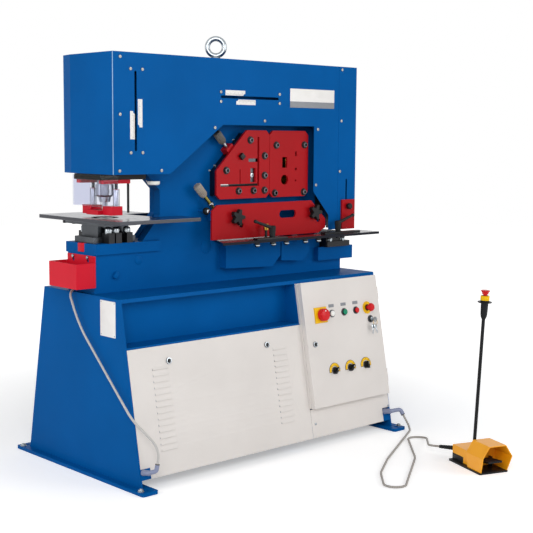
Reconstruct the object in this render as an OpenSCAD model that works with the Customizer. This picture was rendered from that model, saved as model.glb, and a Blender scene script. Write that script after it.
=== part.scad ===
// Hydraulic ironworker on a sheet metal base, with a foot pedal on a cable.
// Millimetres. X runs along the machine, Y to its back and Z up.
// The origin is on the floor, in the middle of the four anchor holes.

/* [Base] */
// Length of the base over its end plates
base_len = 1544; // [1480:2:1640]
// Height of the base top above the floor
base_h = 772; // [740:1:820]
// Depth of the base at its top
base_top_d = 566; // [540:2:620]
// Depth of the end plates at the feet
base_foot_d = 850; // [780:2:930]
// Thickness of the end plates
end_t = 10; // [6:1:14]
// Thickness of the base top plate
top_t = 10; // [6:1:14]
// Thickness of the folded sheet
sheet_t = 3; // [2:0.5:4]
// Width of a foot plate
foot_w = 80; // [70:1:110]
// Length of a foot plate
foot_len = 970; // [950:2:1060]
// Thickness of a foot plate
foot_t = 15; // [10:1:20]
// Diameter of the anchor holes
anchor_d = 18; // [14:1:24]
// Distance of the anchor holes from the ends of the feet
anchor_inset = 30; // [24:1:40]

/* [Tool shelf and panels] */
// Height of the front lip under the base top
lip_h = 16; // [10:1:24]
// Height of the shelf opening along the sloping front
shelf_h = 184; // [150:2:200]
// Depth of the shelf at its floor
shelf_d = 96; // [70:2:120]
// Height of the front panel along the sloping front
panel_h = 532; // [500:2:540]
// Louvres in each of the two columns
louvre_n = 14; // [8:1:16]
// Length of a louvre
louvre_len = 82; // [60:1:100]
// Pitch of the louvres
louvre_pitch = 25.8; // [20:0.2:26]

/* [Electrical cabinet] */
// Width of the cabinet door
door_w = 521; // [500:1:530]
// Height of the cabinet door along the sloping front
door_h = 588; // [570:1:600]
// How far the door face stands out of the sloping front
door_proud = 35; // [30:1:45]
// Depth of the cabinet box behind the sloping front
cab_d = 170; // [140:2:190]
// Largest opening angle of the door
door_open = 110; // [60:5:120]

/* [Machine frame] */
// Length of the frame on the base
frame_len = 1500; // [1480:2:1530]
// Thickness of the frame over its two plates
frame_t = 200; // [190:1:210]
// Thickness of one frame plate
plate_t = 40; // [34:1:45]
// Offset of the frame's middle plane behind the base centre
mid_y = 24; // [10:1:30]
// Height of the lower jaw above the base top
jaw_h = 210; // [200:1:216]
// Height of the throat wall between its two chamfers
throat_h = 107; // [90:1:120]
// Height of the upper arm's underside above the base top
arm_h = 502; // [496:1:512]
// Height of the frame plates above the base top
frame_h = 930; // [900:2:950]

/* [Cover] */
// Length of the cover
cover_len = 1467; // [1450:1:1480]
// Depth of the cover
cover_d = 388; // [380:2:400]
// Height of the cover top above the frame plates
cover_rise = 78; // [60:2:100]
// Thickness of the cover sheet
cover_t = 3; // [2:0.5:4]

/* [Punching station] */
// Place of the punch axis along X
punch_x = -625; // [-635:1:-615]
// Distance of the throat wall from the punch axis
throat_d = 221; // [210:1:230]
// Stroke of the punch
punch_stroke = 55; // [20:1:56]
// Diameter of the ram
ram_d = 64; // [56:1:70]
// Diameter of the punch
punch_d = 22; // [10:1:30]
// Outside diameter of the punch cylinder
punch_cyl_d = 176; // [160:2:180]
// Length of the work table along X
table_l = 440; // [420:2:450]
// Width of the work table
table_w = 586; // [560:2:620]
// Thickness of the work table
table_t = 10; // [8:1:14]
// Height of the work table above the base top
table_h = 308; // [306:1:314]

/* [Cutting stations] */
// Thickness of the red station plates
station_t = 12; // [8:1:14]
// Distance of the station plates from the frame
station_gap = 52; // [44:1:54]
// Width of the angle slot
angle_slot = 11; // [8:1:13]
// Diameter of the round bar hole
round_bar = 46; // [30:1:50]
// Width of the square bar hole
square_bar = 32; // [20:1:36]
// Thickness of the hold-down plate
hold_t = 10; // [8:1:12]
// Largest lift of the hold-down plate along its slots
hold_lift = 34; // [10:1:34]
// Largest swing of the shear beam in degrees
shear_swing = 4; // [1:0.5:4]
// Length of the feed table
feed_l = 1032; // [1000:2:1060]
// Width of the feed table in front of the frame
feed_w = 189; // [180:1:200]
// Thickness of the feed table
feed_t = 12; // [8:1:14]
// Height of the feed table above the base top
feed_h = 198; // [196:1:202]

/* [Foot pedal] */
// Length of the pedal
pedal_l = 274; // [260:2:300]
// Width of the pedal hood at its widest
pedal_w = 152; // [144:2:170]
// Height of the pedal hood
pedal_h = 128; // [120:1:140]
// Height of the post on the pedal
post_h = 600; // [400:10:700]
// Diameter of the post
post_d = 18; // [14:1:24]

/* [Fits] */
// Running clearance on the radius of shafts and pins
run_gap = 0.1; // [0.05:0.05:0.2]
// Clearance between faces that move past each other
move_gap = 0.4; // [0.3:0.1:0.6]

/* [Hidden] */
$fn = 48;

blue = [0.06, 0.35, 0.63];
red = [0.66, 0.11, 0.13];
white = [0.9, 0.88, 0.86];
black = [0.08, 0.08, 0.09];
steel = [0.75, 0.76, 0.78];
dark_steel = [0.33, 0.34, 0.36];
yellow = [0.95, 0.72, 0.05];
grey = [0.6, 0.62, 0.65];

// Base outline
in_x = base_len / 2 - end_t;
foot_half = base_foot_d / 2;
top_half = base_top_d / 2;
foot_x = base_len / 2 - end_t / 2;
anchor_y = foot_len / 2 - anchor_inset;
slope = atan((foot_half - top_half) / (base_h - foot_t));
slope_len = (base_h - foot_t) / cos(slope);
panel_t = 2;
rail_h = 55;
panel_end = lip_h + shelf_h + 8 + panel_h;
notch = 46;
lower_notch = 64;
weld = 2;
cab_x1 = in_x - 16;
cab_x0 = cab_x1 - door_w;
divider_x = cab_x0 - 3;

// Oil tank on two cross bars near the bottom of the base
bar_h = 30;
tank_lo = [-in_x + 90, -180, base_h - panel_end * cos(slope) + bar_h];
tank_hi = [cab_x0 - 63, 200, tank_lo.z + 320];
tank_lid = 8;

// Cabinet, in distances along the sloping front
door_t = door_proud - 12.5;
hinge_x = cab_x1 + 7;
hinge_off = door_proud - 11;
hinge_d = 12;
cab_rim = door_proud - door_t - 0.5;
rim_w = 26;
hinge_pin = 8;
knuckle_l = 30;
controls_s = lip_h + 160;
selectors_s = lip_h + 428;
control_d = 22;
bezel_d = 30;
lamp_x = cab_x0 + 184;
start_x = cab_x0 + 267;
stop_x = cab_x0 + 350;
estop_x = cab_x0 + 431;
estop_s = controls_s - 5;
key_x = cab_x0 + 446;
key_s = controls_s + 52;
switch_x = cab_x0 + 112;
selector_x = [for (i = [0:2]) cab_x0 + 157 + 109 * i];
lock_d = 20;
lock_s = lip_h + 292;
door_lock_x = cab_x0 + 48;
panel_lock_s = lip_h + shelf_h + 75;
panel_lock_x = [-560, 0];

// Frame
half_t = frame_t / 2;
gap_y = half_t - plate_t;
frame_x = frame_len / 2;
throat_x = punch_x + throat_d;
throat_z1 = arm_h - 74;
throat_z0 = throat_z1 - throat_h;
throat_foot_x = throat_x - (throat_z0 - jaw_h) * 0.86;
rear_throat = 94;
nose_w = frame_t + 30;
nose_h = 45;
nose_x1 = throat_x - 7;
arm_x0 = -cover_len / 2 + 35;
notch_x = 560;
jaw_r_z = 121;
jaw_r_x = frame_x + 57;
web_t = 12;

// Shear beam and stations
pivot_x = -230;
pivot_z = 328;
pivot_d = 70;
beam_y = gap_y - 1;
beam_low = feed_h + 42;
slot_x0 = -100;
slot_x1 = 480;
slot_top = feed_h + 38;
shear_x = 640;
saddle_z = 420;
station_y = half_t + station_gap;
corner_x = 121;
corner_z = 444;
bar_x = 291;
square_z = 545;
round_z = 463;
window_edge = 34;
rod_d = 70;
head_z = frame_h - 98;
beam_top = frame_h - 70;

// Outline of both station plates, seen from the front
station_x0 = -133;
station_x1 = 446;
station_z0 = 382;
station_z1 = 694;
station_split = 192;
station_slant = 182;
station_cut = 20;
bolt_d = 30;
angle_bolts = [[70, 649], [-76, 512], [-1, 417], [91, 417], [160, 417], [160, 486], [160, 577]];
bar_bolts = [[234, 626], [419, 628], [226, 402], [417, 402]];
set_screw = [13, 575];

// Hold-down plate, its studs and the diagonal of its slots
hold_y = station_y + station_t + 10;
hold_z0 = feed_h + 3;
studs = [[-38, 300], [462, 304]];
stud_d = 14;
boss_d = 40;
knob_d = 76;
slide_angle = 45;
slot_half = 56;

// Spindles
spindle_angle = 43;
spindle_d = 16;
grip_d = 40;
spindle_up = [station_x0 + 96, -(half_t + 31), station_z1 - 87];
spindle_low = [-106, -(half_t + 40), 316];

// Feed table stops, stop 1 left and stop 2 right
feed_x0 = -200;
feed_y0 = -(half_t + feed_w);
stop_w = 30;
stop_t = 8;
stop_l = [190, 250];
stop_x_mid = [105, 610];
stop_y_mid = [feed_y0 + 20, feed_y0 + 56];
stop_hub = [115, 590];
stop_slot = [[-30, 260], [500, 700]];
stop_travel = 40;
screw_d = 10;
lever_hub_d = 22;
lever_hub_h = 52;
lever_len = 68;
lever_rise = 24;

// Notcher
die_x0 = 600;
die_x1 = 734;
die_foot = 28;
die_y0 = -(half_t + 44);
notch_px = [652, 712];
notch_py = [-(half_t + 34), -(half_t - 10)];
notch_rest = feed_h + 15;
guard_x = [648, 740];
guard_z = [212, 359];
guard_t = 10;
guard_knob = [687, 326];
guard_lift = 100;

// Cover
cover_x0 = -cover_len / 2 + 17;
cover_x1 = cover_x0 + cover_len;
cover_y = cover_d / 2;
cover_h = frame_h + cover_rise;
cover_z0 = arm_h + 1;
cover_diag_x = -418;
cut_x0 = -120;
cut_x1 = 456;
cut_z = 716;
cut_z0 = 403;
skirt_x = 563;
skirt_mid_z = 285;
skirt_z = 213;
bend_y = 118;
bend_in = 15;
stroke_slot = 12;
eye_d = 102;
eye_wire = 24;
eye_z = cover_h + 66;
eye_shank = 30;

// Punching station
flange_t = 24;
flange_x0 = arm_x0 - 15;
flange_x1 = throat_x - (arm_h - throat_z1) - 1;
table_x0 = -743;
table_y0 = -266;
guard_pane = 5;
bolster_flange = 26;
die_d = 70;
die_h = 36;
stripper_z = table_h + 20;
stripper_h = 38;
post_x = punch_x;
post_y = half_t - 16;
post_l = arm_h - flange_t - stripper_z;
tip_z = table_h + 14;
nut_z = 403;
slug_screw_y = [-61, 48];
slug_screw_z = 152;
slug_w = 209;
slug_d = 96;
slug_z0 = 28;
slug_h = 105;
slug_back = 133;
slug_y0 = -115;
slug_lift = 14;

// Foot pedal, turned and set on the floor in front of the machine
pedal_place = [560, -1115];
pedal_turn = -20;
pedal_base_t = 8;
body_w = 104;
body_h = 72;
hood_l = 128;
hood_t = 4;
hood_lean = 24;
body_split = 50;
split_h = 34;
post_lean = 3;
post_at = [-16, 22];
treadle_pin = [-(pedal_l / 2 - hood_l) - 16, 40];
treadle_press = 10;
gland_from = [-18, pedal_l / 2, 46];
gland_to = gland_from + [-46, 84, -6];

// Elbows on the bottom rail, left and right: place on the sloping front, corner and end of the sleeve
elbow_d = 18;
elbow_out = 38;
elbow_place = [[-in_x + 10, panel_end - 32], [in_x - 31, panel_end - 47]];
elbow_turn = [[-724, -464, 88], [798, -456, 98]];
elbow_end = [[-720, -466, 113], [800.6, -470.3, 76.4]];

// Route of the light conduit to the frame's left end: corners with their bend radius
conduit_d = 10;
conduit_side = -base_len / 2 - 22;
conduit_out = unit(elbow_end[0] - elbow_turn[0]);
conduit_pts = [
  elbow_end[0] + 0.3 * conduit_out, concat(elbow_end[0] + 66 * conduit_out, 100),
  [conduit_side, -395, base_h - 472, 120], [conduit_side, -20, base_h - 132, 500],
  [conduit_side, 57, base_h + 13, 42], [-frame_x - 0.2, 57, base_h + 13]
];
// Route of the pedal cable over the floor to the pedal, in the same way
cable_d = 10;
cable_z = cable_d / 2 + 1;
cable_out = unit(elbow_end[1] - elbow_turn[1]);
gland_out = unit(gland_to - gland_from - [0, 10, 0]);
cable_pts = [
  elbow_end[1] + 0.3 * cable_out, concat(elbow_end[1] + (cable_z - elbow_end[1].z) / cable_out.z * cable_out, 44),
  [330, -782, cable_z, 600], [149, -901, cable_z, 300], [10, -1044, cable_z, 43], [73, -1102.5, cable_z, 43],
  [441, -850, cable_z, 300], [687, -597.5, cable_z, 43], [754.4, -660, cable_z, 43],
  concat(pedal_point(gland_to + 60 * gland_out), 44), pedal_point(gland_to + 0.3 * gland_out)
];

// Plain shapes

// An outline in X and Z, swept along Y from y0 to y1
module sweep_y(pts, y0, y1) {
  translate([0, y1, 0]) rotate([90, 0, 0]) linear_extrude(y1 - y0) polygon(pts);
}

// An outline in Y and Z, swept along X from x0 to x1
module sweep_x(pts, x0, x1) {
  translate([x0, 0, 0]) rotate([90, 0, 90]) linear_extrude(x1 - x0) polygon(pts);
}

// A block from one corner to the other
module block(a, b) {
  translate(a) cube(b - a);
}

// A round bar along Y
module bar_y(d, x, z, y0, y1) {
  translate([x, y1, z]) rotate([90, 0, 0]) cylinder(d = d, h = y1 - y0);
}

// A round bar along X
module bar_x(d, y, z, x0, x1) {
  translate([x0, y, z]) rotate([0, 90, 0]) cylinder(d = d, h = x1 - x0);
}

// A round-ended slot between two points, through a thickness along Z
module slot(a, b, d, h) {
  run = b - a;
  for (p = [a, b]) translate([p.x, p.y, 0]) cylinder(d = d, h = h);
  translate([a.x, a.y, 0]) rotate([0, 0, atan2(run.y, run.x)]) translate([0, 0.05 - d / 2, 0]) cube([norm(run), d - 0.1, h]);
}

// The same slot in X and Z, cut along Y from y0 to y1
module slot_y(a, b, d, y0, y1) {
  translate([0, y1, 0]) rotate([90, 0, 0]) slot(a, b, d, y1 - y0);
}

// A flat plate with rounded corners, centred on Z
module round_plate(l, w, t, r) {
  translate([-l / 2 + r, -w / 2, 0]) cube([l - 2 * r, w, t]);
  translate([-l / 2, -w / 2 + r, 0]) cube([l, w - 2 * r, t]);
  for (x = [-1, 1], y = [-1, 1]) translate([x * (l / 2 - r), y * (w / 2 - r), 0]) cylinder(r = r, h = t);
}

// A socket head screw along +Z with its hexagon socket
module cap_screw(d, h) {
  difference() {
    cylinder(d = d, h = h);
    translate([0, 0, h * 0.4]) cylinder(d = d * 0.55, h = h, $fn = 6);
  }
}

// A knob with five pointed lobes along +Z, with a blind bore for its stud
module star_knob(d, h, bore) {
  star = [for (i = [0:4], q = [[-10, 0.5], [10, 0.5], [36, 0.26]]) q[1] * d * [cos(72 * i + q[0]), sin(72 * i + q[0])]];
  difference() {
    union() {
      cylinder(d = d * 0.48, h = h * 0.4);
      translate([0, 0, h * 0.3]) linear_extrude(h * 0.7) polygon(star);
    }
    translate([0, 0, -1]) cylinder(d = bore, h = h * 0.7);
  }
}

// Places on the machine

// Local X along the machine, Y up the sloping front and Z out of it, from the front's top edge
module on_slope() {
  translate([0, -top_half, base_h]) rotate([90 - slope, 0, 0]) children();
}

// Local origin on the base top, in the middle plane of the frame
module on_base() {
  translate([0, mid_y, base_h]) children();
}

// A place on the cabinet door's face, x along the door and s down the slope
module on_door(x, s) {
  on_slope() translate([x, -s, door_proud]) children();
}

module on_pedal() {
  translate([pedal_place.x, pedal_place.y, 0]) rotate([0, 0, pedal_turn]) children();
}

// The same two places for single points
function slope_point(x, s, off) = [x, -top_half - s * sin(slope) - off * cos(slope), base_h - s * cos(slope) + off * sin(slope)];
function pedal_point(p) = [
  pedal_place.x + p.x * cos(pedal_turn) - p.y * sin(pedal_turn),
  pedal_place.y + p.x * sin(pedal_turn) + p.y * cos(pedal_turn), p.z
];

// The sloping outline of an end plate, drawn in by a distance
function end_outline(inset, z0, z1) =
  let (half = function(z) foot_half - (z - foot_t) * tan(slope) - inset / cos(slope))
  [[-half(z0), z0], [half(z0), z0], [half(z1), z1], [-half(z1), z1]];

// Tube swept along a route

// The route with every corner rounded off by an arc that touches both legs, in n steps
function xyz(p) = [p.x, p.y, p.z];
function unit(v) = v / norm(v);
function bent(pts, n) = [
  xyz(pts[0]),
  for (i = [1:len(pts) - 2])
    let (
      p = xyz(pts[i]), a = unit(xyz(pts[i - 1]) - p), b = unit(xyz(pts[i + 1]) - p), r = pts[i][3], half = acos(a * b) / 2,
      c = p + unit(a + b) * r / sin(half), u = p + a * r / tan(half) - c, v = p + b * r / tan(half) - c, turn = 180 - 2 * half
    )
    for (k = [0:n]) c + (u * sin(turn - turn * k / n) + v * sin(turn * k / n)) / sin(turn),
  xyz(pts[len(pts) - 1])
];
function heading(r, i) = unit(r[min(i + 1, len(r) - 1)] - r[max(i - 1, 0)]);

// One closed tube of the given sides along a route of points, its rings lined up with a direction
module tube(r, d, sides, level) {
  n = len(r);
  rings = [
    for (i = [0:n - 1])
      let (t = heading(r, i), u = unit(cross(t, level)), v = cross(u, t))
      for (k = [0:sides - 1]) r[i] + d / 2 * (cos(360 * k / sides) * u + sin(360 * k / sides) * v)
  ];
  walls = [
    for (i = [0:n - 2], k = [0:sides - 1])
      let (a = i * sides + k, b = i * sides + (k + 1) % sides)
      each [[a, b, a + sides], [b, b + sides, a + sides]]
  ];
  ends = [
    for (k = [1:sides - 2]) each [[0, k + 1, k], [(n - 1) * sides, (n - 1) * sides + k, (n - 1) * sides + k + 1]]
  ];
  polyhedron(rings, concat(walls, ends));
}

// Base

module base_frame() {
  color(blue) difference() {
    union() {
      for (s = [-1, 1]) {
        sweep_x(end_outline(0, foot_t, base_h), s > 0 ? in_x : -in_x - end_t, s > 0 ? in_x + end_t : -in_x);
        translate([s * foot_x, 0, 0]) round_plate(foot_w, foot_len, foot_t, 10);
      }
      block([-base_len / 2, -top_half, base_h - top_t], [base_len / 2, top_half, base_h]);
      on_slope() block([-in_x, -lip_h, -sheet_t], [in_x, 0, 0]);
      on_slope() block([-in_x, -lip_h - shelf_h - 20, -sheet_t], [divider_x, -lip_h - shelf_h, 0]);
      on_slope() block([-in_x, -panel_end, -sheet_t], [in_x, rail_h - panel_end, 0]);
      mirror([0, 1, 0]) on_slope() block([-in_x, -panel_end, -sheet_t], [in_x, 0, 0]);
      shelf();
      for (x = [tank_lo.x + 20, tank_hi.x - 60])
        sweep_x(end_outline(weld, tank_lo.z - bar_h, tank_lo.z), x, x + 40);
      sweep_x(end_outline(weld, base_h - panel_end * cos(slope), base_h - top_t), divider_x - sheet_t, divider_x);
    }
    for (x = [-1, 1], y = [-1, 1]) translate([x * foot_x, y * anchor_y, -1]) cylinder(d = anchor_d, h = foot_t + 2);
  }
}

// The open shelf under the base top: a floor and a back wall
module shelf() {
  run = lip_h + shelf_h;
  floor_z = base_h - run * cos(slope);
  floor_y = -top_half - run * sin(slope);
  block([-in_x, floor_y, floor_z - sheet_t], [divider_x, floor_y + shelf_d, floor_z]);
  block([-in_x, floor_y + shelf_d, floor_z - sheet_t], [divider_x, floor_y + shelf_d + sheet_t, base_h - top_t]);
}

// One pressed louvre: a thin hood over its slit, along X
module louvre_hood() {
  rise = 4.5;
  sweep_x([[9, 0], [-3, rise], [-3, rise - 1.4], [5, 0]], -louvre_len / 2, louvre_len / 2);
}

module front_panel() {
  s0 = panel_end - panel_h;
  columns = [-in_x + 154, divider_x - 146];
  function louvre_s(i) = s0 + 94 + i * louvre_pitch;
  color(white) on_slope() difference() {
    union() {
      block([-in_x - 2, -panel_end, 0], [divider_x, -s0, panel_t]);
      for (x = columns, i = [0:louvre_n - 1]) translate([x, -louvre_s(i), panel_t]) louvre_hood();
    }
    for (x = columns, i = [0:louvre_n - 1])
      translate([x - louvre_len / 2, -louvre_s(i) - 3, -1]) cube([louvre_len, 7, panel_t + 1]);
    block([-in_x - 3, -panel_end - 1, -1], [-in_x + notch, notch - panel_end, panel_t + 1]);
    for (x = panel_lock_x) translate([x, -panel_lock_s, -1]) cylinder(d = lock_d - 4 + 2 * run_gap, h = panel_t + 2);
  }
}

module lower_panel() {
  color(white) on_slope() difference() {
    block([divider_x + 2, -panel_end, 0], [in_x + 6, -lip_h - door_h - 3, panel_t]);
    block([in_x - 47, -panel_end - 1, -1], [in_x + 7, lower_notch - panel_end, panel_t + 1]);
  }
}

// Electrical cabinet

module hinge_places() {
  for (s = [lip_h + 90, lip_h + door_h - 90]) translate([hinge_x, -s, hinge_off]) children();
}

module cabinet_box() {
  rim = cab_rim;
  color(white) on_slope() {
    difference() {
      block([divider_x, -lip_h - door_h + 2, -cab_d], [cab_x1 - 3, -lip_h, rim]);
      block([divider_x + 2, -lip_h - door_h + 4, -cab_d + 2], [cab_x1 - 5, -lip_h - 2, rim - 2]);
      block([divider_x + rim_w, -lip_h - door_h + rim_w, 0], [cab_x1 - rim_w, -lip_h - rim_w, rim + 1]);
    }
    hinge_places() {
      translate([0, -knuckle_l, 0]) rotate([-90, 0, 0]) cylinder(d = hinge_d, h = knuckle_l - move_gap);
      translate([0, -knuckle_l, 0]) rotate([-90, 0, 0]) cylinder(d = hinge_pin, h = 2 * knuckle_l - 4);
      block([cab_x1 - 3 - hinge_x, -knuckle_l, -hinge_off - 20], [-2, -move_gap, -hinge_off + 8]);
      block([-5, -knuckle_l, -hinge_off - 20], [-2, -move_gap, 0]);
    }
  }
}

module contactor_plate() {
  back = -cab_d + 2;
  w = cab_x1 - divider_x;
  color(grey) on_slope() translate([divider_x, -lip_h - door_h, back]) {
    difference() {
      block([40, 40, 0], [w - 40, door_h - 40, sheet_t]);
      for (x = [55, w - 55], y = [55, door_h - 55]) translate([x, y, -1]) cylinder(d = 8, h = sheet_t + 2);
    }
    for (row = [0:2]) translate([70, 130 + row * 160, sheet_t]) {
      block([-10, 10, 0], [w - 130, 45, 8]);
      for (i = [0:4 - row]) translate([i * 62 + 4, -12, 8]) {
        block([0, 0, 0], [50, 80, 50]);
        block([6, 14, 50], [44, 66, 72]);
      }
    }
  }
}

// Holes for every control on the door, so that door and controls share their places
module control_holes(h) {
  for (x = [lamp_x, start_x, stop_x, switch_x]) translate([x, -controls_s, -h]) cylinder(d = control_d + 0.4, h = 2 * h);
  translate([estop_x, -estop_s, -h]) cylinder(d = control_d + 0.4, h = 2 * h);
  translate([key_x, -key_s, -h]) cylinder(d = control_d + 0.4, h = 2 * h);
  for (x = selector_x) translate([x, -selectors_s, -h]) cylinder(d = control_d + 0.4, h = 2 * h);
  translate([door_lock_x, -lock_s, -h]) cylinder(d = lock_d - 4 + 2 * run_gap, h = 2 * h);
}

module cabinet_door() {
  color(white) on_slope() {
    difference() {
      block([cab_x0, -lip_h - door_h, door_proud - door_t], [cab_x1, -lip_h, door_proud]);
      block([cab_x0 + 2, -lip_h - door_h + 2, door_proud - door_t - 1], [cab_x1 - 2, -lip_h - 2, door_proud - 2]);
      translate([0, 0, door_proud]) control_holes(5);
    }
    hinge_places() difference() {
      union() {
        translate([0, move_gap, 0]) rotate([-90, 0, 0]) cylinder(d = hinge_d, h = knuckle_l);
        block([cab_x1 - hinge_x - 1, move_gap, -3], [0, knuckle_l, 3]);
      }
      translate([0, -1, 0]) rotate([-90, 0, 0]) cylinder(d = hinge_pin + 2 * run_gap, h = knuckle_l + 3);
    }
  }
}

// A control's fixed part: bezel ring in front of the door and its contact block behind
module control_body(depth) {
  difference() {
    union() {
      cylinder(d = bezel_d, h = 5);
      translate([0, 0, -14]) cylinder(d = control_d, h = 15);
      translate([-14, -14, -depth - 2]) cube([28, 28, depth]);
    }
    translate([0, 0, -depth]) cylinder(d = control_d - 4, h = depth + 10);
    translate([0, 0, 1.5]) cylinder(d = control_d + 1, h = 10);
  }
}

// An arc plate around a selector switch
module arc_plate() {
  difference() {
    cylinder(d = 70, h = 1.5);
    translate([0, 0, -1]) cylinder(d = bezel_d + 14, h = 4);
    translate([-40, -60, -1]) cube([80, 52, 4]);
  }
}

module control_bezels() {
  color(steel) {
    for (x = [lamp_x, start_x, stop_x]) on_door(x, controls_s) control_body(46);
    on_door(lamp_x, controls_s) cylinder(d = control_d + 0.5, h = 9);
    on_door(key_x, key_s) control_body(46);
    for (x = selector_x) on_door(x, selectors_s) control_body(46);
  }
  color(yellow) {
    for (x = selector_x) on_door(x, selectors_s) arc_plate();
    on_door(estop_x, estop_s) difference() {
      union() {
        cylinder(d = 60, h = 2);
        control_body(46);
      }
      translate([0, 0, -40]) cylinder(d = control_d - 4, h = 60);
    }
    on_door(switch_x, controls_s) difference() {
      union() {
        translate([-46, -37, 0]) cube([80, 74, 4]);
        translate([-25, -25, -52]) cube([50, 50, 50]);
        translate([0, 0, -14]) cylinder(d = control_d, h = 15);
      }
      translate([0, 0, -40]) cylinder(d = control_d - 4, h = 60);
    }
  }
}

// A stem that runs in a control's bore, with its foot at the given depth
module control_stem(depth) {
  translate([0, 0, -depth]) cylinder(d = control_d - 4 - 2 * run_gap, h = depth + 6);
}

module push_button() {
  control_stem(30);
  translate([0, 0, 6]) cylinder(d = control_d, h = 4);
  translate([0, 0, 10]) cylinder(d1 = control_d, d2 = control_d - 3, h = 1.5);
}

module start_button() {
  color([0.05, 0.55, 0.4]) on_door(start_x, controls_s) push_button();
}

module stop_button() {
  color(red) on_door(stop_x, controls_s) push_button();
}

module mushroom(d) {
  rotate_extrude() polygon([
    [0, 0], [d * 0.28, 0], [d * 0.3, 12], [d * 0.5, 14], [d * 0.5, 18], [d * 0.42, 25], [d * 0.25, 29], [0, 30]
  ]);
}

module emergency_stop() {
  color(red) on_door(estop_x, estop_s) {
    control_stem(30);
    translate([0, 0, 11.5]) mushroom(40);
    translate([0, 0, 5]) cylinder(d = control_d - 6, h = 8);
  }
}

module main_switch() {
  color(red) on_door(switch_x, controls_s) {
    control_stem(30);
    translate([0, 0, 4 + move_gap]) cylinder(d = 58, h = 14);
    translate([-8, -29, 18]) cube([16, 58, 15]);
  }
}

module key_switch() {
  color(steel) on_door(key_x, key_s) {
    control_stem(30);
    translate([0, 0, 5 + move_gap]) cylinder(d = 19, h = 5);
    translate([-1.2, -8, 10]) cube([2.4, 9, 14]);
    translate([-1.2, -4, 32]) rotate([0, 90, 0]) difference() {
      cylinder(d = 24, h = 2.4);
      translate([0, -5, -1]) cylinder(d = 7, h = 5);
    }
  }
}

module selector(i) {
  color(black) on_door(selector_x[i], selectors_s) {
    control_stem(30);
    translate([0, 0, 5 + move_gap]) cylinder(d = bezel_d - 2, h = 7);
    rotate([0, 0, [-45, -45, 0][i]]) translate([-5, -17, 12]) cube([10, 34, 11]);
  }
}

module selector_1() {
  selector(0);
}

module selector_2() {
  selector(1);
}

module selector_3() {
  selector(2);
}

// A quarter-turn lock: round head with its key web, stem and a cam of the given reach at a depth behind the face
module quarter_turn(depth, reach, turn) {
  stem = lock_d - 4;
  difference() {
    union() {
      translate([0, 0, move_gap]) cylinder(d = lock_d + 6, h = 5);
      translate([0, 0, -depth - 3]) cylinder(d = stem, h = depth + 4);
    }
    translate([0, 0, 3]) cylinder(d = lock_d - 2, h = 5);
  }
  translate([-4, -6, 2]) cube([8, 12, 4]);
  rotate([0, 0, turn]) translate([-7, -7, -depth - 3]) cube([14, reach + 7, 3]);
}

// A lock of the front panel, its cam up behind the rail under the shelf
module panel_lock(i) {
  reach = panel_lock_s - lip_h - shelf_h - 10;
  color(dark_steel) on_slope() translate([panel_lock_x[i], -panel_lock_s, panel_t])
    quarter_turn(panel_t + sheet_t + move_gap, reach, 0);
}

module panel_lock_left() {
  panel_lock(0);
}

module panel_lock_right() {
  panel_lock(1);
}

module door_lock() {
  reach = door_lock_x - divider_x - rim_w + 12;
  color(dark_steel) on_door(door_lock_x, lock_s) quarter_turn(door_proud - cab_rim + 2 + move_gap, reach, 180);
}

// Inside the base

module oil_tank() {
  color(blue) {
    block(tank_lo, tank_hi);
    block([tank_lo.x - 10, tank_lo.y - 10, tank_hi.z], [tank_hi.x + 10, tank_hi.y + 10, tank_hi.z + tank_lid]);
  }
}

module power_unit() {
  lid = tank_hi.z + tank_lid;
  motor_x = -520;
  axis_z = lid + 105;
  color(dark_steel) {
    bar_x(170, 60, axis_z, motor_x, motor_x + 250);
    for (i = [0:10]) bar_x(188, 60, axis_z, motor_x + 18 + i * 20, motor_x + 24 + i * 20);
    bar_x(130, 60, axis_z, motor_x + 250, motor_x + 300);
    bar_x(90, 60, axis_z, motor_x + 300, motor_x + 380);
    for (x = [motor_x + 40, motor_x + 180]) block([x, 0, lid], [x + 30, 120, axis_z]);
    block([-60, 0, lid], [100, 120, lid + 70]);
    for (i = [0:2]) block([-50 + i * 50, -20, lid + 70], [-15 + i * 50, 140, lid + 120]);
  }
}

// Machine frame

function plate_outline(shift) = [
  [-frame_x, 0], [frame_x, 0], [frame_x, jaw_r_z], [die_x0 - 2, jaw_r_z], [die_x0 - 2, feed_h - 8],
  [notch_x, feed_h - 8], [notch_x, frame_h - 60], [notch_x - 60, frame_h], [arm_x0 + 60, frame_h],
  [arm_x0, frame_h - 60], [arm_x0, arm_h], [throat_x + shift - (arm_h - throat_z1), arm_h],
  [throat_x + shift, throat_z1], [throat_x + shift, throat_z0], [throat_foot_x + shift, jaw_h], [-frame_x, jaw_h]
];

// The station window, an outline inside both station plates
function window_outline(edge) = [
  [station_x0 + edge, station_z0 + edge], [station_x0 + edge, station_z1 - station_slant - edge * 0.41],
  [station_x0 + station_slant + edge * 0.41, station_z1 - edge], [station_x1 - edge, station_z1 - edge],
  [station_x1 - edge, station_z0 + edge]
];

// Boss that carries the feed table, with a slanted lower corner
function boss_outline(x0, x1, low, cut) = [
  [x0, feed_h - feed_t], [x1, feed_h - feed_t], [x1, low + cut], [x1 - cut, low], [x0, low + 10]
];

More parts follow.
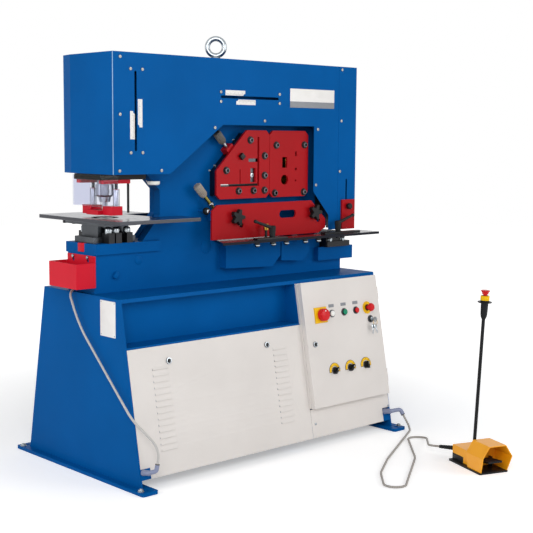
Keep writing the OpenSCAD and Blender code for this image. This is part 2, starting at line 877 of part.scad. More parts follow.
module machine_frame() {
  jaw_wide = half_t + 30;
  nose = nose_w / 2;
  boss_y = half_t + 46;
  color(blue) on_base() {
    difference() {
      union() {
        sweep_y(plate_outline(0), -half_t, -gap_y);
        sweep_y(plate_outline(rear_throat), gap_y, half_t);
        block([throat_x + rear_throat + 4 - web_t, -gap_y, jaw_h], [throat_x + rear_throat + 4, gap_y, arm_h]);
        block([-frame_x, -gap_y, 0], [frame_x, gap_y, 20]);
        block([-frame_x, -gap_y, 0], [-frame_x + 15, gap_y, jaw_h]);
        block([arm_x0 + 200, -gap_y, frame_h - 30], [notch_x - 60, gap_y, frame_h]);
        block([-frame_x, -gap_y, jaw_h - 90], [throat_foot_x, gap_y, jaw_h]);
        block([-frame_x, -nose, jaw_h - nose_h], [nose_x1, nose, jaw_h]);
        block([notch_x, -jaw_wide, jaw_r_z - 66], [jaw_r_x, jaw_wide, jaw_r_z]);
        sweep_y(boss_outline(-60, 285, 52, 50), -boss_y, -half_t);
        sweep_y(boss_outline(292, 482, 66, 44), -boss_y, -half_t);
        block([notch_x - 40, -half_t, head_z], [shear_x + 90, half_t, head_z + 30]);
        cover_posts();
        for (p = studs) {
          bar_y(boss_d, p.x, p.y, -hold_y, -half_t);
          bar_y(stud_d, p.x, p.y, -hold_y - hold_t - 18, -half_t);
        }
        spindle_bracket();
        for (y = slug_screw_y) {
          bar_x(8, y, slug_screw_z, -frame_x - 7, -frame_x);
          bar_x(14, y, slug_screw_z, -frame_x - 12, -frame_x - 7);
        }
      }
      sweep_y(window_outline(window_edge), -half_t - 1, -gap_y + 1);
      sweep_y(window_outline(window_edge - 10), gap_y - 1, half_t + 1);
      stock_openings(-half_t - 1, half_t + 1, 4);
      block([slot_x0, -half_t - 1, feed_h], [slot_x1, -gap_y + 1, slot_top]);
      block([slot_x0 - 30, gap_y - 1, feed_h - 60], [slot_x1 + 30, half_t + 1, slot_top]);
      bar_y(pivot_d + 2 * run_gap, pivot_x, pivot_z, -half_t + 12, half_t + 1);
      translate([punch_x, 0, arm_h - 1]) cylinder(d = punch_cyl_d + 1, h = frame_h);
      block([-frame_x - 1, -25, jaw_h - 38], [punch_x + 25, 25, jaw_h + 1]);
      translate([0, 0, frame_h + 6]) cylinder(d = eye_shank + 0.4, h = cover_h);
      translate(spindle_low) rotate([0, -spindle_angle, 0]) cylinder(d = spindle_d + 2 * run_gap, h = 400, center = true);
    }
  }
}

// Posts on the frame's top that the cover rests on
module cover_posts() {
  for (x = [arm_x0 + 260, notch_x - 100], y = [-1, 1])
    translate([x, y * (half_t - plate_t / 2), frame_h - 1]) cylinder(d = 30, h = cover_h - cover_t - frame_h + 1);
  translate([0, 0, frame_h - 1]) cylinder(d = 60, h = cover_h - cover_t - frame_h + 1);
}

// Block on the frame that carries the lower spindle
module spindle_bracket() {
  block([spindle_low.x - 22, -half_t - 62, spindle_low.z - 34], [spindle_low.x + 24, -half_t, spindle_low.z + 14]);
}

// Cover

module cover_plan(inset, z0, z1) {
  x0 = cover_x0 + inset;
  x1 = cover_x1 - inset;
  y = cover_y - inset;
  translate([0, 0, z0]) linear_extrude(z1 - z0)
    polygon([[x0, -y], [x1, -y], [x1, y], [x0 + bend_in, y], [x0, bend_y]]);
}

module top_cover() {
  edge = [
    [cover_x0, cover_z0], [cover_diag_x, cover_z0], [cut_x0, cut_z], [cut_x1, cut_z], [cut_x1, cut_z0],
    [skirt_x, skirt_mid_z], [skirt_x, skirt_z], [cover_x1, skirt_z], [cover_x1, cover_h], [cover_x0, cover_h]
  ];
  front = -cover_y - 1;
  color(blue) on_base() difference() {
    intersection() {
      cover_plan(0, skirt_z, cover_h);
      sweep_y(edge, -cover_y, cover_y);
    }
    cover_plan(cover_t, skirt_z - 1, cover_h - cover_t);
    slot_y([-600, arm_h + 104], [-600, cover_h - 82], stroke_slot, front, -cover_y + cover_t + 1);
    slot_y([-128, cover_h - 168], [214, cover_h - 168], stroke_slot, front, -cover_y + cover_t + 1);
    slot_y([guard_knob.x, guard_knob.y - 6], [guard_knob.x, 456], 10, front, -cover_y + cover_t + 1);
    block([624, front, skirt_z - 1], [626, -cover_y + 1, cover_h + 1]);
    translate([0, 0, cover_h - cover_t - 1]) cylinder(d = eye_shank + 2, h = cover_t + 2);
  }
}

module eye_bolt() {
  color(steel) on_base() rotate([0, 0, -43]) {
    translate([0, 0, frame_h + 10]) cylinder(d = eye_shank, h = cover_h - frame_h);
    translate([0, 0, cover_h]) cylinder(d = 62, h = 14);
    translate([0, 0, cover_h + 13]) cylinder(d1 = 46, d2 = 28, h = 12);
    translate([0, 0, eye_z]) rotate([90, 0, 0]) rotate_extrude() translate([(eye_d - eye_wire) / 2, 0]) circle(d = eye_wire);
  }
}

// Punching station

module punch_cylinder() {
  bore = punch_cyl_d - 36;
  top = frame_h - 40;
  color(black) on_base() difference() {
    union() {
      block([flange_x0, -half_t, arm_h - flange_t], [flange_x1, half_t, arm_h]);
      translate([punch_x, 0, arm_h - 1]) cylinder(d = punch_cyl_d, h = top - arm_h);
    }
    translate([punch_x, 0, arm_h + 20]) cylinder(d = bore, h = top - arm_h - 50);
    translate([punch_x, 0, arm_h - flange_t - 1]) cylinder(d = ram_d + 2 * run_gap, h = 100);
  }
}

module punch_ram() {
  bore = punch_cyl_d - 36;
  piston_z = arm_h + 40 + punch_stroke;
  color(steel) on_base() translate([punch_x, 0, 0]) {
    translate([0, 0, arm_h - flange_t - 22]) cylinder(d = ram_d, h = piston_z - arm_h + flange_t + 23);
    translate([0, 0, piston_z]) cylinder(d = bore - 2 * run_gap, h = 60);
    translate([0, 0, nut_z + 8]) cylinder(d = ram_d + 12, h = arm_h - flange_t - 22 - nut_z - 8);
    translate([0, 0, nut_z]) cylinder(d1 = ram_d - 6, d2 = ram_d + 12, h = 8.1);
    translate([0, 0, nut_z - 22]) cylinder(d1 = 44, d2 = 52, h = 22.1);
    translate([0, 0, tip_z]) cylinder(d = punch_d, h = nut_z - tip_z);
  }
}

module stripper() {
  color(red) on_base() difference() {
    union() {
      for (y = [-1, 1]) {
        translate([0, y * post_y, 0]) {
          block([punch_x - 42, y > 0 ? -41 : -25, stripper_z], [punch_x + 15, y > 0 ? 25 : 41, stripper_z + stripper_h]);
          block([punch_x - 76, -15, arm_h - flange_t - 16], [punch_x + 64, 15, arm_h - flange_t]);
          translate([post_x, 0, stripper_z + 10]) cylinder(d = 28, h = post_l * 2 / 3);
          translate([post_x, 0, stripper_z + 20]) cylinder(d = 14, h = post_l - 24);
        }
      }
      block([punch_x - 66, 40 - post_y, stripper_z], [punch_x + 34, post_y - 40, stripper_z + 20]);
      translate([punch_x + 77, 20 - post_y, stripper_z + 6]) cylinder(d = 10, h = post_l - 6);
    }
    translate([punch_x, 0, stripper_z - 1]) cylinder(d = 60, h = stripper_h);
  }
}

module punch_guard() {
  z0 = stripper_z + stripper_h + 1;
  color([0.85, 0.9, 0.92, 0.4]) on_base() difference() {
    block([flange_x0 - guard_pane, -half_t - guard_pane, z0], [punch_x - 4, half_t + guard_pane, arm_h - 4]);
    block([flange_x0, -half_t, z0 - 1], [punch_x, half_t, arm_h]);
  }
}

module punch_table() {
  wall_x = throat_x - 0.86 * max(0, throat_z0 - table_h + table_t);
  color(dark_steel) on_base() translate([0, 0, table_h - table_t]) difference() {
    translate([table_x0 + table_l / 2, table_y0 + table_w / 2, 0]) round_plate(table_l, table_w, table_t, 8);
    translate([punch_x, 0, -1]) cylinder(d = die_d + 50, h = table_t + 2);
    block([wall_x - 14, -half_t - 16, -1], [table_x0 + table_l + 1, half_t + 16, table_t + 1]);
  }
}

module bolster() {
  color(dark_steel) on_base() difference() {
    union() {
      block([punch_x - 110, -70, jaw_h], [punch_x + 110, 70, jaw_h + bolster_flange]);
      block([punch_x - 80, -60, jaw_h], [punch_x + 80, 60, table_h - table_t]);
      block([punch_x - 105, -150, table_h - table_t - 12], [punch_x + 60, 150, table_h - table_t]);
      translate([punch_x, 0, table_h - table_t - 1]) cylinder(d = die_d, h = 15);
    }
    translate([punch_x, 0, jaw_h - 1]) cylinder(d = punch_d + 12, h = 70);
    translate([punch_x, 0, jaw_h]) cylinder(d = punch_d + 1, h = 200);
  }
}

module bolster_clamps() {
  color(black) on_base() for (x = [-45, -8, 49], y = [-1, 1]) translate([punch_x + x, 0, jaw_h]) {
    difference() {
      block([-15, y * 88 - 26, 0], [15, y * 88 + 26, bolster_flange + 18]);
      block([-16, y * 66 - 6, -1], [16, y * 66 + 6, bolster_flange]);
    }
    translate([0, y * 90, bolster_flange + 18]) cylinder(d = 24, h = 14);
    translate([0, y * 90, bolster_flange + 32]) cylinder(d1 = 24, d2 = 14, h = 5);
  }
}

// A round lamp under the throat's upper chamfer, on a bracket at the front plate's inner face
module work_lamp() {
  color(white) on_base() translate([throat_x + 12, 0, arm_h - 42]) {
    translate([0, -30, 0]) cylinder(d1 = 46, d2 = 54, h = 5);
    translate([0, -30, 5]) cylinder(d = 54, h = 12);
    block([-14, 0.3 - gap_y, 16], [14, -20, 28]);
  }
}

module slug_box() {
  x1 = -frame_x - 3.5;
  x0 = x1 - slug_d;
  color([0.83, 0.12, 0.22]) on_base() difference() {
    union() {
      block([x0, slug_y0, slug_z0], [x1, slug_y0 + slug_w, slug_z0 + slug_h]);
      block([x1 - sheet_t, slug_y0, slug_z0], [x1, slug_y0 + slug_w, slug_z0 + slug_back]);
    }
    block([x0 + sheet_t, slug_y0 + sheet_t, slug_z0 + sheet_t], [x1 - sheet_t, slug_y0 + slug_w - sheet_t, slug_z0 + slug_h + 1]);
    for (y = slug_screw_y) {
      bar_x(16, y, slug_screw_z - slug_lift, x1 - sheet_t - 1, x1 + 1);
      bar_x(8 + 2 * move_gap, y, slug_screw_z, x1 - sheet_t - 1, x1 + 1);
      block([x1 - sheet_t - 1, y - 4 - move_gap, slug_screw_z - slug_lift], [x1 + 1, y + 4 + move_gap, slug_screw_z]);
    }
  }
}

// Cutting stations

// Openings for the stock: the angle slot, the square hole and the round hole, widened by a clearance
module stock_openings(y0, y1, wide) {
  w = angle_slot / 2 + wide;
  block([corner_x - w, y0, corner_z - w], [corner_x + w, y1, station_z1 - 30 + wide]);
  block([corner_x - 230 - wide, y0, corner_z - w], [corner_x + w, y1, corner_z + w]);
  block([bar_x - square_bar / 2 - wide, y0, square_z - 25 - wide], [bar_x + square_bar / 2 + wide, y1, square_z + 25 + wide]);
  bar_y(round_bar + 2 * wide, bar_x, round_z, y0, y1);
}

module angle_plate() {
  c = station_cut;
  edge = [
    [station_x0, station_z0 + c], [station_x0 + c, station_z0], [station_split - 1 - c, station_z0],
    [station_split - 1, station_z0 + c], [station_split - 1, station_z1 - c], [station_split - 1 - c, station_z1],
    [station_x0 + station_slant, station_z1], [station_x0, station_z1 - station_slant]
  ];
  y1 = -station_y;
  y0 = y1 - station_t;
  b = spindle_up;
  color(red) on_base() difference() {
    union() {
      sweep_y(edge, y0, y1);
      translate([b.x, 0, b.z]) rotate([0, -spindle_angle, 0]) block([-22, y1 - 0.5, -12], [22, y1 + 42, 16]);
    }
    stock_openings(y0 - 1, y1 + 1, 0);
    block([6, y0 - 1, corner_z], [11, y1 + 1, corner_z + 72]);
    block([60, y0 - 1, 549], [corner_x, y1 + 1, 565]);
    block([72, y0 - 1, corner_z + 12], [104, y1 + 1, corner_z + 76]);
    translate(b) rotate([0, -spindle_angle, 0]) cylinder(d = spindle_d + 2 * run_gap, h = 300, center = true);
  }
}

module bar_plate() {
  c = station_cut;
  edge = [
    [station_split + 1, station_z0 + c], [station_split + 1 + c, station_z0], [station_x1 - c, station_z0],
    [station_x1, station_z0 + c], [station_x1, station_z1 - c], [station_x1 - c, station_z1],
    [station_split + 1 + c, station_z1], [station_split + 1, station_z1 - c]
  ];
  y1 = -station_y;
  y0 = y1 - station_t;
  color(red) on_base() difference() {
    sweep_y(edge, y0, y1);
    stock_openings(y0 - 1, y1 + 1, 0);
    slot_y([365, 579], [365, 591], 12, y0 - 1, y1 + 1);
    bar_y(14, 365, 513, y0 - 1, y1 + 1);
    bar_y(10, 364, 458, y0 - 1, y1 + 1);
  }
}

module plate_bolts() {
  y = -station_y - station_t;
  color(black) on_base() for (p = concat(angle_bolts, bar_bolts))
    translate([p.x, y, p.y]) rotate([90, 0, 0]) cap_screw(bolt_d, 12);
  color(black) on_base() translate([set_screw.x, y, set_screw.y]) rotate([90, 45, 0]) translate([-12, -12, 0]) cube([24, 24, 16]);
}

module blade_block() {
  edge = 14;
  color(dark_steel) on_base() difference() {
    union() {
      sweep_y(window_outline(edge), -station_y, -half_t);
      sweep_y(window_outline(window_edge + 0.3), -half_t - 1, -beam_y - move_gap);
    }
    stock_openings(-station_y - 1, -beam_y + 1, 2);
  }
}

module shear_beam() {
  edge = [
    [-290, beam_low + 20], [-290, 400], [-150, 640], [-60, beam_top], [40, beam_top], [70, 720], [500, 720], [570, saddle_z],
    [725, saddle_z], [725, 300], [600, 300], [540, beam_low], [-200, beam_low]
  ];
  color(dark_steel) on_base() difference() {
    union() {
      sweep_y(edge, -beam_y, beam_y);
      bar_y(pivot_d, pivot_x, pivot_z, -half_t + 14, half_t - 1);
      block([notch_px[0] - 12, notch_py[0], 300], [725, -beam_y + 1, 400]);
      block([notch_px[0], notch_py[0], notch_rest], [notch_px[1], notch_py[1], 301]);
    }
    stock_openings(-beam_y - 1, beam_y + 1, 3);
  }
}

module shear_cylinder() {
  bore = rod_d + 40;
  bottom = saddle_z + 90;
  color(black) on_base() translate([shear_x, 0, 0]) difference() {
    translate([0, 0, bottom]) cylinder(d = bore + 32, h = head_z - bottom);
    translate([0, 0, bottom + 40]) cylinder(d = bore, h = head_z - bottom - 60);
    translate([0, 0, bottom - 1]) cylinder(d = rod_d + 2 * run_gap, h = 60);
  }
}

module shear_rod() {
  bore = rod_d + 40;
  stroke = (shear_x - pivot_x) * sin(shear_swing);
  dome = rod_d / 2 + 15;
  color(steel) on_base() translate([shear_x, 0, 0]) {
    intersection() {
      translate([0, 0, saddle_z + 0.9]) cylinder(d = rod_d, h = 400);
      union() {
        translate([0, 0, saddle_z + 0.9 + dome]) sphere(r = dome);
        translate([0, 0, saddle_z + 50]) cylinder(d = rod_d, h = stroke + 120);
      }
    }
    translate([0, 0, saddle_z + 90 + 45 + stroke]) cylinder(d = bore - 2 * run_gap, h = 40);
  }
}

module hold_down_plate() {
  y1 = -hold_y;
  y0 = y1 - hold_t;
  edge = [
    [-144, 358], [-175, 333], [-177, hold_z0], [503, hold_z0], [552, 226], [551, 268], [451, 361]
  ];
  reach = slot_half * [cos(slide_angle), -sin(slide_angle)];
  color(red) on_base() difference() {
    sweep_y(edge, y0 + move_gap / 4, y1 - move_gap);
    for (p = studs) slot_y(p - 0.25 * reach, p + reach, stud_d + 8, y0 - 1, y1 + 1);
    slot_y([258, 302], [330, 302], 36, y0 - 1, y1 + 1);
  }
}

module hold_knob(i) {
  color(black) on_base() translate([studs[i].x, -hold_y - hold_t - move_gap, studs[i].y]) rotate([90, 0, 0])
    star_knob(knob_d, 30, stud_d + 2 * run_gap);
}

module star_knob_left() {
  hold_knob(0);
}

module star_knob_right() {
  hold_knob(1);
}

// A threaded spindle along +Z with its grip, from the rod's foot over the grip's neck to its end
module spindle(foot, neck, end) {
  translate([0, 0, foot]) cylinder(d = spindle_d, h = neck + 2 - foot);
  translate([0, 0, neck]) cylinder(d1 = spindle_d + 6, d2 = grip_d, h = 12);
  translate([0, 0, neck + 12]) cylinder(d = grip_d, h = end - neck - 17);
  translate([0, 0, end - 5]) cylinder(d1 = grip_d, d2 = grip_d - 6, h = 5);
}

module spindle_upper() {
  color(grey) on_base() translate(spindle_up) rotate([0, -spindle_angle, 0]) spindle(-10, 40, 102);
}

module spindle_lower() {
  color(grey) on_base() translate(spindle_low) rotate([0, -spindle_angle, 0]) {
    spindle(-52, 100, 179);
    translate([0, 0, 54]) cylinder(d = spindle_d + 10, h = 14);
  }
}

module feed_table() {
  x1 = feed_x0 + feed_l;
  z0 = feed_h - feed_t;
  outline = [
    [feed_x0, feed_y0], [x1, feed_y0], [x1, die_y0 - 2], [notch_x, die_y0 - 2], [notch_x, -half_t - 0.3],
    [-95, -half_t - 0.3]
  ];
  color(dark_steel) on_base() difference() {
    translate([0, 0, z0]) linear_extrude(feed_t) polygon(outline);
    for (i = [0, 1]) translate([0, 0, z0 - 1])
      slot([stop_slot[i][0], stop_y_mid[i]], [stop_slot[i][1], stop_y_mid[i]], screw_d + 2, feed_t + 2);
  }
}

// A stop bar on the feed table with its clamp screw
module stop(i) {
  x = stop_x_mid[i];
  y = stop_y_mid[i];
  l = stop_l[i];
  color(black) on_base() {
    block([x - l / 2, y - stop_w / 2, feed_h + 0.3], [x + l / 2, y + stop_w / 2, feed_h + stop_t]);
    translate([stop_hub[i], y, feed_h - feed_t - 12]) cylinder(d = screw_d, h = feed_t + stop_t + 40);
    translate([stop_hub[i], y, feed_h - feed_t - 12]) cylinder(d = 2 * screw_d, h = 11.5);
  }
}

module stop_left() {
  stop(0);
}

module stop_right() {
  stop(1);
}

// A clamp lever: ribbed hub on the screw and a rising arm with a ball end
module lever(i, turn) {
  color(black) on_base() translate([stop_hub[i], stop_y_mid[i], feed_h + stop_t + move_gap]) {
    difference() {
      union() {
        cylinder(d = lever_hub_d + 6, h = 6);
        cylinder(d1 = lever_hub_d, d2 = lever_hub_d + 6, h = lever_hub_h);
        rotate([0, 0, turn]) translate([0, 0, lever_hub_h - 11]) rotate([0, 90 - lever_rise, 0]) {
          cylinder(d1 = 17, d2 = 11, h = lever_len);
          translate([0, 0, lever_len]) sphere(d = 15);
        }
      }
      translate([0, 0, -1]) cylinder(d = screw_d + 2 * run_gap, h = 38);
    }
  }
}

module lever_left() {
  lever(0, 180);
}

module lever_right() {
  lever(1, 0);
}

module notcher_die() {
  back = die_y0 + 184;
  color(black) on_base() difference() {
    union() {
      block([die_x0, die_y0, jaw_r_z], [die_x1, back, feed_h - 2]);
      block([die_x0 + 2, die_y0 - 8, jaw_r_z], [die_x1 + die_foot, back - 10, jaw_r_z + die_foot]);
      for (x = [18, 114]) bar_y(22, die_x0 + x, jaw_r_z + 50, die_y0 - 10, die_y0 + 1);
    }
    block([notch_px[0] - 14, notch_py[0] - 4, jaw_r_z + 6], [notch_px[1] + 6, notch_py[1] + 4, feed_h]);
  }
}

module notcher_guard() {
  y1 = -cover_y - move_gap;
  color(red) on_base() difference() {
    block([guard_x[0], y1 - guard_t, guard_z[0]], [guard_x[1], y1, guard_z[1]]);
    bar_y(8 + 2 * run_gap, guard_knob.x, guard_knob.y, y1 - guard_t - 1, y1 + 1);
  }
}

module notcher_knob() {
  y = -cover_y - move_gap;
  color(black) on_base() {
    bar_y(8, guard_knob.x, guard_knob.y, y - guard_t - 8, y + 8);
    translate([guard_knob.x, y - guard_t - move_gap, guard_knob.y]) rotate([90, 0, 0]) {
      cylinder(d1 = 22, d2 = 30, h = 8);
      translate([0, 0, 8]) cylinder(d = 30, h = 10);
      translate([0, 0, 18]) cylinder(d1 = 30, d2 = 24, h = 4);
    }
  }
}

// Foot pedal

function hood_outline(inset) = [
  [-pedal_w / 2 + 8 + inset, pedal_base_t], [pedal_w / 2 - 8 - inset, pedal_base_t],
  [pedal_w / 2 - inset, pedal_h * 0.6], [pedal_w * 0.28 - inset * 0.6, pedal_h - inset],
  [-pedal_w * 0.28 + inset * 0.6, pedal_h - inset], [-pedal_w / 2 + inset, pedal_h * 0.6]
];

module pedal_base() {
  front = -pedal_l / 2;
  pin = treadle_pin;
  color(black) on_pedal() {
    translate([0, hood_lean / 2, 0]) round_plate(pedal_w - 6, pedal_l - hood_lean, pedal_base_t, 6);
    block([-body_w / 2 + 6, front + hood_l + 10, pedal_base_t - 1], [body_w / 2 - 6, pedal_l / 2 - 6, body_h - 20]);
    block([-body_w / 2, body_split + 0.3, pedal_base_t - 1], [body_w / 2, pedal_l / 2, split_h - 0.3]);
    for (s = [-1, 1]) difference() {
      block([s * 40 - 4, pin.x - 10, pedal_base_t - 1], [s * 40 + 4, pin.x + 10, pin.y + 10]);
      bar_x(8 + 2 * run_gap, pin.x, pin.y, s * 40 - 5, s * 40 + 5);
    }
  }
}

module pedal_hood() {
  front = -pedal_l / 2;
  low = pedal_base_t - 1;
  color([0.95, 0.61, 0.07]) on_pedal() difference() {
    union() {
      sweep_y(hood_outline(0), front, front + hood_l);
      block([-body_w / 2, front + hood_l - 1, pedal_base_t], [body_w / 2, pedal_l / 2, body_h]);
    }
    sweep_y(hood_outline(hood_t), front - 1, front + hood_l - hood_t);
    block([-pedal_w / 2 + 8 + hood_t, front - 1, low], [pedal_w / 2 - 8 - hood_t, front + hood_l - hood_t, 20]);
    sweep_x([[front - 1, low], [front + hood_lean, low], [front - 1, pedal_h * 0.6]], -pedal_w, pedal_w);
    block([-body_w / 2 + 5.7, front + hood_l + 9.7, low], [body_w / 2 - 5.7, pedal_l / 2 - 5.7, body_h - 19.7]);
    block([-body_w, body_split, low], [body_w, pedal_l, split_h]);
    translate([post_at.x, post_at.y, body_h]) rotate([post_lean, 0, -pedal_turn])
      translate([0, 0, -30]) cylinder(d = post_d + 0.4, h = 60);
  }
}

// The post leans towards the front of the machine
module on_post() {
  on_pedal() translate([post_at.x, post_at.y, body_h]) rotate([0, 0, -pedal_turn]) rotate([post_lean, 0, 0]) children();
}

module pedal_post() {
  color(black) on_post() difference() {
    union() {
      translate([0, 0, -19.4]) cylinder(d = post_d, h = post_h + 19.4);
      translate([0, 0, post_h - 1]) cylinder(d = 30, h = 62);
      translate([0, 0, post_h + 61]) cylinder(d = 62, h = 4);
      translate([0, 0, post_h + 65]) cylinder(d = 38, h = 26);
    }
    translate([0, 0, post_h + 40]) cylinder(d = control_d - 4, h = 60);
  }
}

module pedal_stop() {
  color(red) on_post() translate([0, 0, post_h + 91]) {
    control_stem(40);
    translate([0, 0, 8]) cylinder(d = 36, h = 8);
    translate([0, 0, 16]) cylinder(d1 = 40, d2 = 30, h = 8);
    translate([0, 0, 5]) cylinder(d = 16, h = 4);
  }
}

module treadle() {
  pin = treadle_pin;
  front = -pedal_l / 2 + 16;
  color(black) on_pedal() {
    bar_x(8, pin.x, pin.y, -44, 44);
    sweep_x([[pin.x, pin.y - 6], [pin.x, pin.y + 6], [front, pin.y + 16], [front, pin.y + 8]], -35, 35);
  }
}

// Cords and their fittings

module conduit() {
  color(grey) tube(bent(conduit_pts, 6), conduit_d, 10, [0.6, -0.8, 0]);
}

module pedal_cable() {
  color(grey) tube(bent(cable_pts, 6), cable_d, 10, [0, 0, 1]);
}

// A round bar between two points
module rod(from, to, d) {
  run = to - from;
  translate(from) rotate([0, acos(run.z / norm(run)), atan2(run.y, run.x)]) cylinder(d = d, h = norm(run));
}

// A sleeve along a line, with a socket for the cord in its far end
module sleeve(from, to, d, bore) {
  out = unit(to - from);
  difference() {
    rod(from, to + 3 * out, d);
    rod(to, to + 4 * out, bore);
  }
}

// An elbow on the bottom rail of the sloping front: flange, stub, arm, corner and the sleeve of its cord
module elbow(i, d, bore) {
  at = elbow_place[i];
  on_slope() translate([at.x, -at.y, 0.3]) {
    cylinder(d = d + 8, h = 6);
    cylinder(d = d + 5, h = elbow_out + d / 2);
  }
  rod(slope_point(at.x, at.y, elbow_out), elbow_turn[i], d);
  translate(elbow_turn[i]) sphere(d = d + 2);
  sleeve(elbow_turn[i], elbow_end[i], d, bore);
}

module cable_glands() {
  color(grey) {
    elbow(0, elbow_d, conduit_d + 1.2);
    elbow(1, elbow_d + 2, cable_d + 1.2);
  }
  color(black) on_pedal() {
    translate(gland_from + [0, 0.2, 0]) rotate([-90, 0, 0]) cylinder(d = 26, h = 12);
    sleeve(gland_from + [0, 10, 0], gland_to, 19, cable_d + 1.2);
  }
}

base_frame();
front_panel();
lower_panel();
cabinet_box();
contactor_plate();
machine_frame();
top_cover();
eye_bolt();
angle_plate();
bar_plate();
blade_block();
plate_bolts();
feed_table();
notcher_die();
punch_table();
bolster();
bolster_clamps();
punch_cylinder();
stripper();
punch_guard();
work_lamp();
shear_cylinder();
oil_tank();
power_unit();
pedal_base();
pedal_hood();
pedal_post();
conduit();
pedal_cable();
cable_glands();
slug_box();
punch_ram();
shear_beam();
shear_rod();
hold_down_plate();
star_knob_left();
star_knob_right();
spindle_upper();
spindle_lower();
stop_left();
stop_right();
lever_left();
lever_right();
notcher_guard();
notcher_knob();
cabinet_door();
control_bezels();
main_switch();
start_button();
stop_button();
emergency_stop();
key_switch();
selector_1();
selector_2();
selector_3();
panel_lock_left();
panel_lock_right();
door_lock();
treadle();
pedal_stop();
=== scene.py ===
"""Looks of a hydraulic ironworker with its foot pedal: coated sheet, painted plates, steel and plastics.

Lengths are millimetres, as on a drawing, until piece() turns them into metres."""

import math

import bmesh
import bpy
import numpy as np
from mathutils import Matrix


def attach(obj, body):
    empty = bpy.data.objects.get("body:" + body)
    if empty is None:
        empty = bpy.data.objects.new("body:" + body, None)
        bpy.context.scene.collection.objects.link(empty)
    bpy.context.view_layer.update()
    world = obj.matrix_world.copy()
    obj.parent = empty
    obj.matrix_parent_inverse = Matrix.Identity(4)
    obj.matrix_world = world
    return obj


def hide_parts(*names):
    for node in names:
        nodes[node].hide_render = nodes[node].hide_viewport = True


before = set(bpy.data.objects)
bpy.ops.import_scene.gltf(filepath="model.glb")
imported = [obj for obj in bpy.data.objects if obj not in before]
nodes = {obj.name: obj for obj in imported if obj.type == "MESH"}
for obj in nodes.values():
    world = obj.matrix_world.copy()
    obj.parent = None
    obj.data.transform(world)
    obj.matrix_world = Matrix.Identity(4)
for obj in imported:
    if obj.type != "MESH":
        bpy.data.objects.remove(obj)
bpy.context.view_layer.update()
scene = bpy.context.scene
MM = 0.001
SHARP = math.radians(35)  # a made piece's edge that bends more than this stays sharp

# The machine's own places: heights on the frame count from the base's top, depths from the frame's mid plane
BASE_H = 772.0  # the base's top above the floor
TOP_HALF = 283.0  # half the depth of the base's top
MID_Y = 24.0  # the frame's mid plane behind the base's
SLOPE = math.atan2(142, 757)  # the front's lean: how far it runs out over how far it comes down
DOOR = 35.0  # the cabinet door's face off the slope
PANEL = 2.0  # the front panels' face off the slope
FOOT_TOP = 15.0  # the foot plates' top above the floor
COVER_Y = -194.0  # the cover's front
HOLD_DOWN_Y = -184.0  # the hold-down plate's front
PLATE_Y = -164.0  # the station plates' front
FRAME_Y = -100.0  # the frame's front
TABLE_UNDER = 298.0  # the work table's underside
FEED_UNDER, FEED_TOP = 186.0, 198.0  # the feed table's two faces
STOP_TOP = 206.0  # the table stops' top
PUNCH_X = -625.0  # the punch's axis
PEDAL = (560.0, -1115.0)  # the pedal's place on the floor
PEDAL_TURN = math.radians(-20)
POST_H = 600.0  # the pedal's post up to its handle
POST_LEAN = math.radians(3)
SPINDLE_TURN = math.radians(43)


def placed(origin, across, up, out):
    """A 4 by 4 matrix whose columns are the local X, Y and Z directions and the origin."""
    m = np.eye(4)
    m[:3, 0], m[:3, 1], m[:3, 2], m[:3, 3] = across, up, out, origin
    return m


def shifted(x, y, z):
    """A placement that moves and doesn't turn."""
    return placed((x, y, z), (1, 0, 0), (0, 1, 0), (0, 0, 1))


def on_slope(x, s, off=0.0):
    """Local X along the machine, Y up the sloping front and Z out of it, s below the front's top edge."""
    sn, cs = math.sin(SLOPE), math.cos(SLOPE)
    origin = (x, -TOP_HALF - s * sn - off * cs, BASE_H - s * cs + off * sn)
    return placed(origin, (1, 0, 0), (0, sn, cs), (0, -cs, sn))


def on_door(x, s):
    """A place on the cabinet door's outer face."""
    return on_slope(x, s, DOOR)


def on_frame(x, y, z):
    """The frame's own axes on the base, for pieces that stand on a level face."""
    return shifted(x, y + MID_Y, z + BASE_H)


def facing_front(x, y, z):
    """A place on the frame: local X along the machine, Y up and Z towards the operator."""
    return placed((x, y + MID_Y, z + BASE_H), (1, 0, 0), (0, 0, 1), (0, -1, 0))


def facing_left(x, y, z):
    """A place on the frame: local X towards the operator, Y up and Z out of the punching end."""
    return placed((x, y + MID_Y, z + BASE_H), (0, -1, 0), (0, 0, 1), (-1, 0, 0))


def on_pedal(x, y, z):
    """Local axes of the turned pedal, x across it and y to its back."""
    c, s = math.cos(PEDAL_TURN), math.sin(PEDAL_TURN)
    origin = (PEDAL[0] + x * c - y * s, PEDAL[1] + x * s + y * c, z)
    return placed(origin, (c, s, 0), (-s, c, 0), (0, 0, 1))


def on_post():
    """Local Z up the pedal's post, from the top of the pedal's body."""
    c, s = math.cos(POST_LEAN), math.sin(POST_LEAN)
    return placed(on_pedal(-16, 22, 72)[:3, 3], (1, 0, 0), (0, c, s), (0, -s, c))


def on_spindle(x, y, z):
    """Local Z up a hold-down spindle from its foot's place on the frame."""
    c, s = math.cos(SPINDLE_TURN), math.sin(SPINDLE_TURN)
    return placed((x, y + MID_Y, z + BASE_H), (c, 0, s), (0, 1, 0), (-s, 0, c))


def spun(m, degrees):
    """A placement turned about its own Z."""
    c, s = math.cos(math.radians(degrees)), math.sin(math.radians(degrees))
    return placed(m[:3, 3], m[:3, 0] * c + m[:3, 1] * s, m[:3, 1] * c - m[:3, 0] * s, m[:3, 2])


